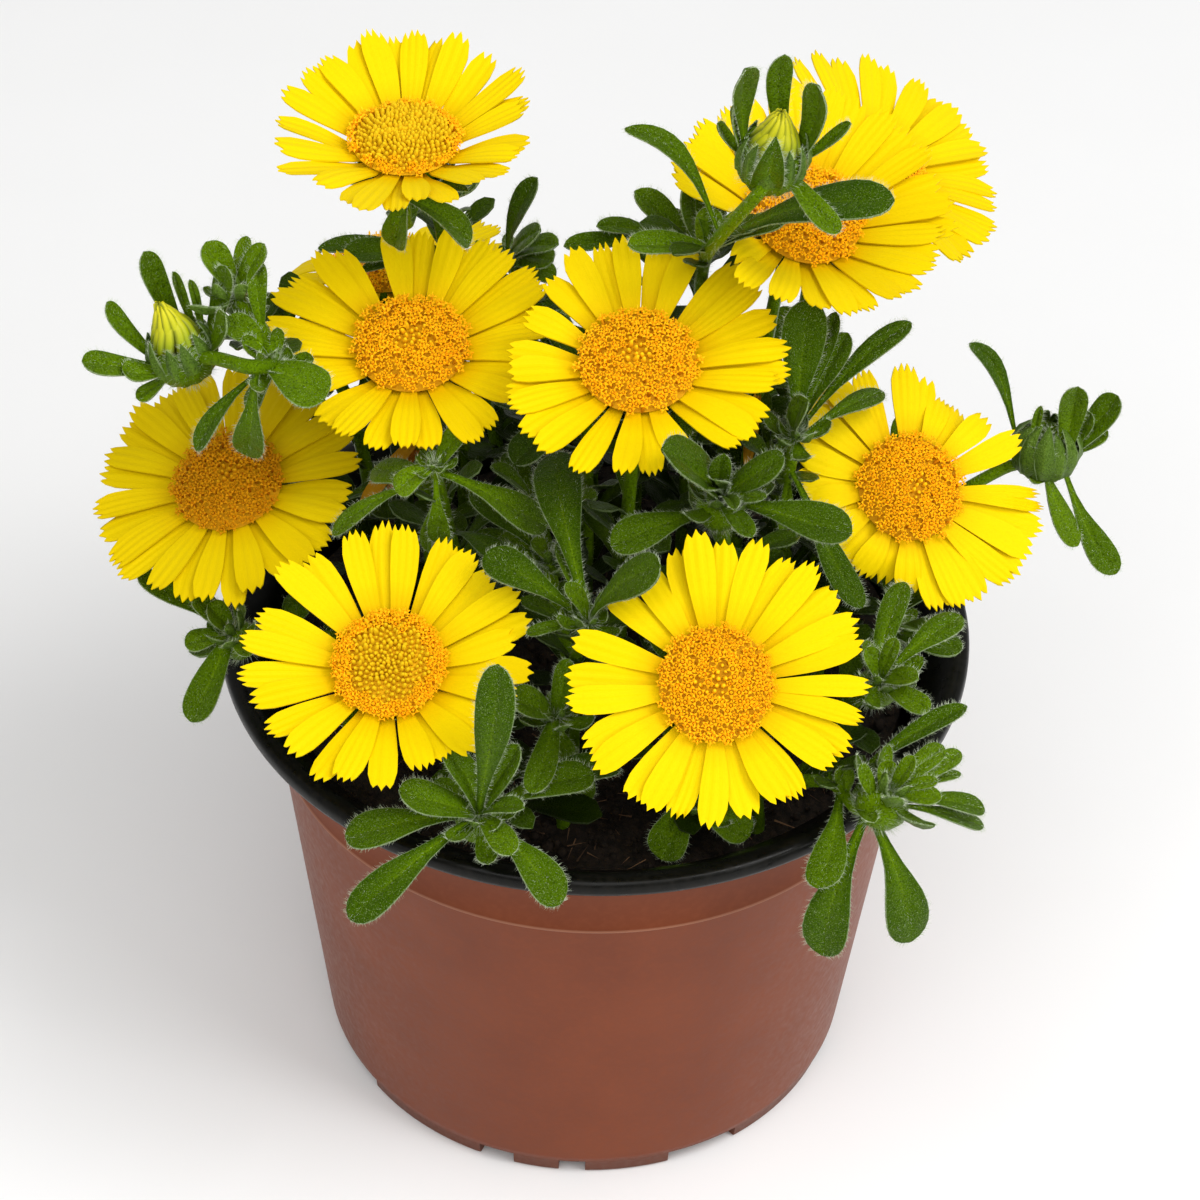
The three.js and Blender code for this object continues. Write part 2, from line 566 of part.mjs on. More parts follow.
// The frame of a head: its middle, its axis, the direction to the picture's right, and the one up it
function headFrame({ centre, high, faces, lean }) {
  const axis = vec(
    Math.sin(radians(lean)) * Math.cos(radians(faces)),
    Math.sin(radians(lean)) * Math.sin(radians(faces)),
    Math.cos(radians(lean)),
  );
  const right = RIGHT.clone().addScaledVector(axis, -RIGHT.dot(axis)).normalize();
  return { middle: seen(...centre, high), axis, right, up: axis.clone().cross(right) };
}

function inHead(frame, angle, radius, height) {
  return frame.middle.clone()
    .addScaledVector(frame.right, radius * Math.cos(angle))
    .addScaledVector(frame.up, radius * Math.sin(angle))
    .addScaledVector(frame.axis, height);
}

// Levels along a head's axis
const RAY_LEVEL = -1.2;
const HUB_TOP = RAY_LEVEL + 0.6;
const HUB_BOTTOM = RAY_LEVEL - 2.8;
const DISC_BOTTOM = HUB_TOP + GAP;
const CUP_TOP = HUB_BOTTOM - GAP;
const CUP_BOTTOM = CUP_TOP - 4.6;

// Radii of a head as shares of its disc's
const RAY_ROOT = 0.74;
const CUP = 0.68;

// A ray's outline: its width at the root, how far out it is widest, and its three teeth as
// [share of the half width, share of the reach]
const RAY_ROOT_WIDTH = 0.26;
const RAY_WIDEST = 0.66;
const RAY_TEETH = [[0.66, 0.96], [0.33, 0.9], [0, 1], [-0.33, 0.9], [-0.66, 0.96]];

// The corners of one ray petal. It lies on a layer's plate, rises with the head's cup and ends in teeth.
function rayCorners(frame, head, [degrees, reach, drop = 0], layer, room) {
  const angle = radians(degrees);
  const rise = Math.tan(radians(head.cup));
  const level = RAY_LEVEL - RAY_LAYER * layer;
  const rootRadius = RAY_ROOT * head.disc;
  const sink = 0.5 * rise * (head.disc - rootRadius);
  const wideRadius = head.disc + RAY_WIDEST * (reach - head.disc);
  const half = Math.min(RAY_HALF_WIDTH, 0.94 * wideRadius * Math.sin(room / 2));
  const height = (radius) => {
    const share = Math.max(0, radius - head.disc) / (reach - head.disc);
    return level + rise * (radius - head.disc) - drop * share * share;
  };
  const at = (radius, across, high) => {
    const far = Math.hypot(radius, across);
    return inHead(frame, angle + Math.atan2(across, radius), far, high);
  };
  const rootHalf = RAY_ROOT_WIDTH * RAY_HALF_WIDTH;
  const rootHigh = level - sink;
  const wideHigh = height(wideRadius);
  return {
    root: [at(rootRadius, -rootHalf, rootHigh), at(rootRadius, rootHalf, rootHigh),
      at(rootRadius, 0, rootHigh - RAY_DEPTH)],
    wide: [at(wideRadius, -half, wideHigh), at(wideRadius, half, wideHigh),
      at(wideRadius, 0, wideHigh - RAY_DEPTH)],
    teeth: RAY_TEETH.map(([across, out]) => {
      const radius = head.disc + out * (reach - head.disc);
      return at(radius, across * half, height(radius));
    }),
    level: rootHigh,
  };
}

// One layer of rays: a thin plate under the disc with the rays growing from its edge. The upper plate
// is raised in the middle and reaches down into the lower one.
function rayLayer(frame, head, rows, layer) {
  const gapAfter = (i) => radians((rows[(i + 1) % rows.length][0] - rows[i][0] + 360) % 360);
  const points = [];
  const triangles = [];
  const starts = rows.map((row, i) => {
    const room = Math.min(gapAfter(i), gapAfter((i + rows.length - 1) % rows.length));
    const { root, wide, teeth } = rayCorners(frame, head, row, layer, room);
    const start = points.length;
    points.push(...root, ...wide, ...teeth);
    const [right0, left0, keel0, right, left, keel, tooth] = [0, 1, 2, 3, 4, 5, 6].map((k) => start + k);
    triangles.push([left0, right0, right], [left0, right, left]);
    triangles.push([right0, keel0, keel], [right0, keel, right]);
    triangles.push([keel0, left0, left], [keel0, left, keel]);
    triangles.push([left, right, tooth + 3], [right, tooth + 4, tooth + 3], [tooth + 3, tooth + 2, tooth + 1]);
    triangles.push([left, tooth + 3, tooth + 1], [left, tooth + 1, tooth]);
    const edge = [left, tooth, tooth + 1, tooth + 2, tooth + 3, tooth + 4, right];
    for (let k = 0; k + 1 < edge.length; k += 1) triangles.push([keel, edge[k], edge[k + 1]]);
    return start;
  });
  const { level } = rayCorners(frame, head, rows[0], layer, 1);
  const over = points.length;
  const under = over + 1;
  points.push(inHead(frame, 0, 0, layer ? level : HUB_TOP));
  points.push(inHead(frame, 0, 0, layer ? HUB_BOTTOM : level - RAY_LAYER - 1.4 * RAY_DEPTH));
  starts.forEach((start, i) => {
    const next = starts[(i + 1) % starts.length];
    triangles.push([over, start, start + 1], [over, start + 1, next]);
    triangles.push([start + 2, next + 2, next], [start + 2, next, start + 1], [under, next + 2, start + 2]);
  });
  return solidFrom(points, triangles);
}

function headRays(frame, head) {
  const [upper, lower] = [0, 1].map((layer) => (
    rayLayer(frame, head, head.rays.filter((_, i) => i % 2 === layer), layer)));
  return upper.add(lower);
}

// The disc is a dome of hexagonal rings in which every third point stands up as a floret
const DISC_RINGS = 5;
const DISC_RIM = DISC_BOTTOM - 0.4;
const DISC_DOME = 2.2;
const FLORET_HEIGHT = 0.8;
const HEX_STEPS = [[1, 0], [0, 1], [-1, 1], [-1, 0], [0, -1], [1, -1]];

function discPoint(frame, head, ring, step) {
  const sector = ring ? Math.floor(step / ring) : 0;
  const along = step - sector * ring;
  const [column, row] = [0, 1].map((k) => (
    ring * HEX_STEPS[sector][k] + along * HEX_STEPS[(sector + 2) % 6][k]));
  const standing = (column - row + 3 * DISC_RINGS) % 3 === 0;
  const share = ring / DISC_RINGS;
  const angle = ring ? (2 * Math.PI * step) / (6 * ring) : 0;
  const dome = DISC_RIM + DISC_DOME * (1 - share ** 2.4);
  return inHead(frame, angle, 0.96 * head.disc * share ** 0.92, dome + (standing ? FLORET_HEIGHT : 0));
}

function headDisc(frame, head) {
  const points = [discPoint(frame, head, 0, 0)];
  const starts = [0];
  for (let ring = 1; ring <= DISC_RINGS; ring += 1) {
    starts.push(points.length);
    for (let step = 0; step < 6 * ring; step += 1) points.push(discPoint(frame, head, ring, step));
  }
  const at = (ring, step) => starts[ring] + (ring ? (step + 6 * ring) % (6 * ring) : 0);
  const triangles = [];
  for (let ring = 1; ring <= DISC_RINGS; ring += 1) {
    for (let sector = 0; sector < 6; sector += 1) {
      for (let k = 0; k < ring; k += 1) {
        const outer = sector * ring + k;
        const inner = sector * (ring - 1) + k;
        triangles.push([at(ring, outer), at(ring, outer + 1), at(ring - 1, inner)]);
        if (k + 1 < ring) {
          triangles.push([at(ring - 1, inner), at(ring, outer + 1), at(ring - 1, inner + 1)]);
        }
      }
    }
  }
  const under = points.length;
  points.push(inHead(frame, 0, 0, DISC_BOTTOM));
  for (let step = 0; step < 6 * DISC_RINGS; step += 1) {
    triangles.push([at(DISC_RINGS, step + 1), at(DISC_RINGS, step), under]);
  }
  return solidFrom(points, triangles);
}

// The green under a head: its cup, a whorl of bracts, its stem and the leaves on it
const BRACTS = 4;

function headGreen(frame, head) {
  const cup = stoodAt(
    turned([
      [0, CUP_BOTTOM], [STEM_RADIUS + 0.5, CUP_BOTTOM],
      [CUP * head.disc, CUP_TOP - 1.2], [CUP * head.disc, CUP_TOP], [0, CUP_TOP],
    ], 7),
    frame.middle,
    frame.axis,
  );
  const path = [
    ...head.foot, ...head.stem,
    inHead(frame, 0, 0, CUP_BOTTOM - 8), inHead(frame, 0, 0, CUP_BOTTOM + 1),
  ];
  const bracts = [];
  for (let i = 0; i < BRACTS; i += 1) {
    const angle = (2 * Math.PI * (i + between(0.3, 0.7))) / BRACTS;
    const root = inHead(frame, angle, 0.4 * head.disc, CUP_TOP - 1.8);
    const reach = between(2.5, 5);
    const rise = 0.8 * reach * Math.tan(radians(head.cup));
    const tip = inHead(frame, angle, head.disc + reach, CUP_TOP - between(0.8, 1.6) + rise);
    bracts.push(leaf(root, tip, between(1.7, 2.1), frame.axis, BRACT, 0.02));
  }
  const free = growthPoints([path]);
  const leaves = head.leaves.map((row) => seenLeaf(row, free));
  return joined([cup, tube(path, STEM_RADIUS), ...bracts, ...leaves]);
}

// A bud: a round hairy cup and, where they show, the closed rays above it
const BUD_RADIUS = 4.5;
const BUD_TOP = 0.55 * BUD_RADIUS;

function budCup({ centre, high, apex, apexHigh }) {
  const middle = seen(...centre, high);
  const axis = seen(...apex, apexHigh).sub(middle);
  const profile = [
    [0, -0.8 * BUD_RADIUS], [0.7 * BUD_RADIUS, -0.62 * BUD_RADIUS], [BUD_RADIUS, 0],
    [0.8 * BUD_RADIUS, BUD_TOP], [0, BUD_TOP],
  ];
  return stoodAt(turned(profile, 8), middle, axis);
}

// Where the stem ends inside a bud's cup
function underBud({ centre, high, apex, apexHigh }) {
  const middle = seen(...centre, high);
  const axis = seen(...apex, apexHigh).sub(middle).normalize();
  return middle.addScaledVector(axis, -0.4 * BUD_RADIUS);
}

function budRays({ centre, high, apex, apexHigh }) {
  const middle = seen(...centre, high);
  const axis = seen(...apex, apexHigh).sub(middle);
  const length = axis.length();
  const base = BUD_TOP + GAP;
  const folds = 8;
  const rings = [[0.62 * BUD_RADIUS, base], [0.62 * BUD_RADIUS, 0.55 * length], [0.32 * BUD_RADIUS, 0.94 * length]];
  const points = [vec(0, 0, base)];
  rings.forEach(([radius, z]) => {
    for (let i = 0; i < 2 * folds; i += 1) {
      const angle = (Math.PI * i) / folds;
      const r = radius * (i % 2 ? 0.82 : 1);
      points.push(vec(r * Math.cos(angle), r * Math.sin(angle), z));
    }
  });
  points.push(vec(0, 0, length));
  const at = (ring, i) => 1 + ring * 2 * folds + (i % (2 * folds));
  const triangles = [];
  for (let i = 0; i < 2 * folds; i += 1) {
    triangles.push([0, at(0, i + 1), at(0, i)]);
    for (let ring = 0; ring < 2; ring += 1) {
      triangles.push([at(ring, i), at(ring, i + 1), at(ring + 1, i + 1)]);
      triangles.push([at(ring, i), at(ring + 1, i + 1), at(ring + 1, i)]);
    }
    triangles.push([at(2, i), at(2, i + 1), points.length - 1]);
  }
  return stoodAt(solidFrom(points, triangles), middle, axis);
}

function shootGreen(shoot) {
  const stems = shoot.stems.map((path, i) => (
    shoot.bud && i === (shoot.bud.stem ?? 0) ? [...path, underBud(shoot.bud)] : path));
  const solids = stems.map((path) => tube(path, STEM_RADIUS));
  const free = growthPoints(stems);
  const fromTop = [...shoot.leaves].sort((a, b) => (b[5] - b[2]) - (a[5] - a[2]));
  solids.push(...fromTop.map((row) => seenLeaf(row, free, shoot.bud)));
  if (shoot.bud) solids.push(budCup(shoot.bud));
  return joined(solids);
}

// A whorl of leaves on a stem that leans outward
const WHORL_TURN = radians(137.5);

function fillerPath([degrees, distance, high]) {
  const out = vec(Math.cos(radians(degrees)), Math.sin(radians(degrees)), 0);
  const start = out.clone().multiplyScalar(Math.min(distance * 0.72, 40));
  return [...foot(start.x, start.y), out.clone().multiplyScalar(distance).setZ(high)];
}

function fillerGreen(filler) {
  const [degrees, , , count] = filler;
  const path = fillerPath(filler);
  const roots = growthPoints([path]).reverse();
  const out = vec(Math.cos(radians(degrees)), Math.sin(radians(degrees)), 0);
  const solids = [tube(path, STEM_RADIUS)];
  const start = between(0, 2 * Math.PI);
  for (let i = 0; i < count; i += 1) {
    const angle = start + WHORL_TURN * i;
    const share = i / count;
    const level = vec(Math.cos(angle), Math.sin(angle), 0).addScaledVector(out, 0.5).normalize();
    const climb = radians(52 - 46 * share + between(-6, 6));
    const length = between(17, 22) * (0.6 + 0.4 * share);
    const root = roots[i];
    const tip = root.clone().addScaledVector(level, length * Math.cos(climb))
      .addScaledVector(UP, length * Math.sin(climb));
    const face = UP.clone().addScaledVector(level, -0.3).normalize();
    solids.push(leaf(root, tip, between(2.5, 3.2) * (0.7 + 0.3 * share), face, LARGE_LEAF));
  }
  return joined(solids);
}

// The pot
function potSolid() {
  const inner = (radius) => radius - WALL;
  const profile = [
    [0, 0], [CENTRE_FOOT_RADIUS, 0], [CENTRE_FOOT_RADIUS + 1, FLOOR_UNDER],
    [FOOT_RADIUS - FOOT_RING_WIDTH - 0.4, FLOOR_UNDER], [FOOT_RADIUS - FOOT_RING_WIDTH, 0],
    [FOOT_RADIUS, 0], [WALL_FOOT_RADIUS, FLOOR_TOP + 0.3], [COLLAR_RADIUS, COLLAR_LEVEL],
    [COLLAR_RADIUS + COLLAR_STEP, COLLAR_LEVEL + 0.4], [LIP_NECK_RADIUS - 0.4, LIP_LEVEL - 1.2],
    [RIM_RADIUS - 1, LIP_LEVEL], [RIM_RADIUS, LIP_LEVEL + 0.7],
    [RIM_RADIUS, POT_HEIGHT - 0.8], [RIM_RADIUS - 0.8, POT_HEIGHT], [RIM_RADIUS - 2.6, POT_HEIGHT],
    [inner(LIP_NECK_RADIUS), LIP_LEVEL - 1.6],
    [inner(COLLAR_RADIUS), COLLAR_LEVEL], [inner(WALL_FOOT_RADIUS), FLOOR_TOP], [0, FLOOR_TOP],
  ];
  const cutters = [...footNotches(), ...drainHoles()];
  return cutters.reduce((solid, cutter) => solid.subtract(cutter), turned(profile, POT_SEGMENTS));
}

// Gaps in the foot ring, as [compass angle, width] in one quarter of it
const NOTCHES = [[251.5, 6], [268.5, 4.4], [298.5, 12.6]];

function footNotches() {
  const notches = [];
  for (let quarter = 0; quarter < 4; quarter += 1) {
    for (const [degrees, width] of NOTCHES) {
      const box = new THREE.BoxGeometry(FOOT_RING_WIDTH + 3, width, 2 * (FLOOR_UNDER - 0.4));
      box.deleteAttribute('normal');
      box.deleteAttribute('uv');
      const angle = radians(degrees + 90 * quarter);
      box.translate(FOOT_RADIUS - FOOT_RING_WIDTH / 2, 0, 0);
      box.rotateZ(angle);
      notches.push(solidOf(mergeVertices(box, 1e-4)));
    }
  }
  return notches;
}

function drainHoles() {
  const holes = [];
  for (let i = 0; i < 4; i += 1) {
    const angle = radians(45 + 90 * i);
    const hole = turned([[0, FLOOR_UNDER - 1], [4, FLOOR_UNDER - 1], [4, FLOOR_TOP + 1], [0, FLOOR_TOP + 1]], 6);
    holes.push(stoodAt(hole, vec(26 * Math.cos(angle), 26 * Math.sin(angle), 0), UP));
  }
  return holes;
}

// The soil: a plug that fills the pot, with a lumpy top and a plain hole for each stem
const SOIL_SEGMENTS = 20;
const SOIL_RINGS = [0.35, 0.7, 1];

const HOLE_RADIUS = STEM_RADIUS * Math.SQRT2 + 0.5;

function soilSolid(paths) {
  const level = FLOOR_TOP + GAP;
  const radiusAt = (z) => WALL_FOOT_RADIUS - WALL - GAP - 0.1
    + (COLLAR_RADIUS - WALL_FOOT_RADIUS) * (z - level) / (COLLAR_LEVEL - level);
  const points = [vec(0, 0, SOIL_TOP), vec(0, 0, level)];
  const bottomStart = points.length;
  const around = (radius, z, lump) => {
    for (let i = 0; i < SOIL_SEGMENTS; i += 1) {
      const angle = (2 * Math.PI * i) / SOIL_SEGMENTS;
      points.push(vec(radius * Math.cos(angle), radius * Math.sin(angle), z + between(-lump, lump)));
    }
  };
  around(radiusAt(level), level, 0);
  around(radiusAt(COLLAR_LEVEL) , COLLAR_LEVEL, 0);
  [...SOIL_RINGS].reverse().forEach((share) => around(SOIL_RADIUS * share, SOIL_TOP, share < 1 ? 1 : 0.4));
  const rings = 2 + SOIL_RINGS.length;
  const at = (ring, i) => bottomStart + ring * SOIL_SEGMENTS + (i % SOIL_SEGMENTS);
  const triangles = [];
  for (let i = 0; i < SOIL_SEGMENTS; i += 1) {
    triangles.push([1, at(0, i + 1), at(0, i)]);
    for (let ring = 0; ring + 1 < rings; ring += 1) {
      triangles.push([at(ring, i), at(ring, i + 1), at(ring + 1, i + 1)]);
      triangles.push([at(ring, i), at(ring + 1, i + 1), at(ring + 1, i)]);
    }
    triangles.push([at(rings - 1, i), at(rings - 1, i + 1), 0]);
  }
  const plug = solidFrom(points, triangles);
  return paths.reduce((solid, [bottom, low]) => {
    const hole = turned([
      [0, bottom.z - GAP], [HOLE_RADIUS, bottom.z - GAP], [HOLE_RADIUS, low.z], [0, low.z],
    ], 4);
    return solid.subtract(stoodAt(hole, vec(bottom.x, bottom.y, 0), UP));
  }, plug);
}

// Materials
const material = (color, roughness) => new THREE.MeshStandardMaterial({ color, roughness, metalness: 0 });
const POT_FINISH = material(0x84452c, 0.45);
const SOIL_FINISH = material(0x241a12, 0.95);
const RAY_FINISH = material(0xffe800, 0.5);
const DISC_FINISH = material(0xf59a10, 0.7);
const GREEN_FINISH = material(0x3a6a24, 0.6);
const BUD_RAY_FINISH = material(0xb5b81c, 0.55);

const plant = new THREE.Group();
function place(name, solid, finish) {
  const mesh = new THREE.Mesh(mainBody(solid), finish);
  mesh.name = name;
  plant.add(mesh);
}

const stemPaths = [];
place('pot', potSolid(), POT_FINISH);
for (const head of BLOOMS) {
  const frame = headFrame(head);
  place(`rays_${head.name}`, headRays(frame, head), RAY_FINISH);
  place(`disc_${head.name}`, headDisc(frame, head), DISC_FINISH);
  place(`stem_${head.name}`, headGreen(frame, head), GREEN_FINISH);
  stemPaths.push(head.foot);
}
for (const shoot of SHOOTS) {
  place(`shoot_${shoot.name}`, shootGreen(shoot), GREEN_FINISH);
  if (shoot.bud?.rays) place(`bud_rays_${shoot.name}`, budRays(shoot.bud), BUD_RAY_FINISH);
  stemPaths.push(shoot.stems[0]);
}
FILLERS.forEach((filler, i) => {
  place(`shoot_back_${i + 1}`, fillerGreen(filler), GREEN_FINISH);
  stemPaths.push(fillerPath(filler));
});
place('soil', soilSolid(stemPaths), SOIL_FINISH);

export default plant;
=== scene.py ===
"""A gold coin plant in a two-colour nursery pot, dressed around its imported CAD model.

Metres, +Z up, and -Y is the front. The tables of the heads and shoots are in pixels and millimetres.
"""

import itertools
import math

import bpy
import numpy as np
from mathutils import Matrix


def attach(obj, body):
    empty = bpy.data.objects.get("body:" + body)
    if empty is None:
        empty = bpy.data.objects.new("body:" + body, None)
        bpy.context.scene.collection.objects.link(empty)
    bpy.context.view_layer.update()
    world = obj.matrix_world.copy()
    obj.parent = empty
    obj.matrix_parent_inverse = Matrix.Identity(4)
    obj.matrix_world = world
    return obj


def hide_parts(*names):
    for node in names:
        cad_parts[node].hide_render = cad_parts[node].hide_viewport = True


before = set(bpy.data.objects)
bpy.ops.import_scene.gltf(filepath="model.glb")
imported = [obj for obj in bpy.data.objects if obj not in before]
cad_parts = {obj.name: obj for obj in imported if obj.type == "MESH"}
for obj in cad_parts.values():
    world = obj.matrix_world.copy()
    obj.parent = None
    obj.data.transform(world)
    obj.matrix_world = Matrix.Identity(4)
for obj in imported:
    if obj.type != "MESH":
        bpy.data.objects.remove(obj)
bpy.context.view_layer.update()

# Driving dimensions
MM = 0.001
RIM_RADIUS = 60 * MM
POT_HEIGHT = 85.4 * MM
WALL = 1 * MM
SOIL_TOP = 76 * MM
STEM_RADIUS = 1.1 * MM
LEAF_DEPTH = 0.55 * MM
RAY_HALF_WIDTH = 2.15 * MM
RAY_DEPTH = 0.3 * MM
RAY_LAYER = 0.85 * MM
BUD_RADIUS = 4.5 * MM
SEED = 7
TURN = 2 * math.pi
GOLDEN_TURN = math.radians(137.508)

# The range of a drawn angle, in radians
ANY_ANGLE = (0, 6.28)

# Levels and radii of the pot, from the driving dimensions
FOOT_RADIUS = RIM_RADIUS - 16.9 * MM
WALL_FOOT_RADIUS = RIM_RADIUS - 15.7 * MM
COLLAR_RADIUS = RIM_RADIUS - 8.65 * MM
COLLAR_LEVEL = POT_HEIGHT - 19.2 * MM
LIP_LEVEL = POT_HEIGHT - 2.9 * MM
LIP_NECK_RADIUS = RIM_RADIUS - 6.2 * MM
FLOOR_UNDER = 3.2 * MM
FLOOR_TOP = FLOOR_UNDER + 1.2 * MM
FOOT_RING_WIDTH = 2.6 * MM
SOIL_RADIUS = COLLAR_RADIUS - WALL - 0.3 * MM
STEM_BOTTOM = SOIL_TOP - 6 * MM

# The photograph's viewpoint, fitted to the pot
VIEW_DISTANCE = 646 * MM
VIEW_ELEVATION = math.radians(41.9)
VIEW_ROLL = math.radians(1.72)
VIEW_FOCAL_PIXELS = 4030
VIEW_CENTRE = (595, 620)
VIEW_AIM = np.array([0, 0, 84.6 * MM])
PICTURE_PIXELS = 1200
SENSOR = 36

UP = np.array([0.0, 0.0, 1.0])
RIGHT = np.array([1.0, 0.0, 0.0])
FORWARD = np.array([0, math.cos(VIEW_ELEVATION), -math.sin(VIEW_ELEVATION)])
VIEW_UP = np.array([0, math.sin(VIEW_ELEVATION), math.cos(VIEW_ELEVATION)])
EYE = VIEW_AIM - VIEW_DISTANCE * FORWARD

# A leaf that the photograph shows looks between straight up and the viewer
SEEN_FACE = UP - 0.7 * FORWARD


def seen(pixel_x, pixel_y, high):
    """The point at a height in millimetres that the photograph shows at a pixel."""
    across = pixel_x - VIEW_CENTRE[0]
    down = pixel_y - VIEW_CENTRE[1]
    u = (across * math.cos(VIEW_ROLL) + down * math.sin(VIEW_ROLL)) / VIEW_FOCAL_PIXELS
    v = (down * math.cos(VIEW_ROLL) - across * math.sin(VIEW_ROLL)) / VIEW_FOCAL_PIXELS
    ray = FORWARD + u * RIGHT - v * VIEW_UP
    return EYE + ray * (high * MM - EYE[2]) / ray[2]


def at(x, y, z):
    return np.array([x, y, z]) * MM


def foot(x, y, top=88):
    """Where a stem leaves the soil."""
    return [at(x, y, STEM_BOTTOM / MM), at(x, y, 78), at(x, y, top)]


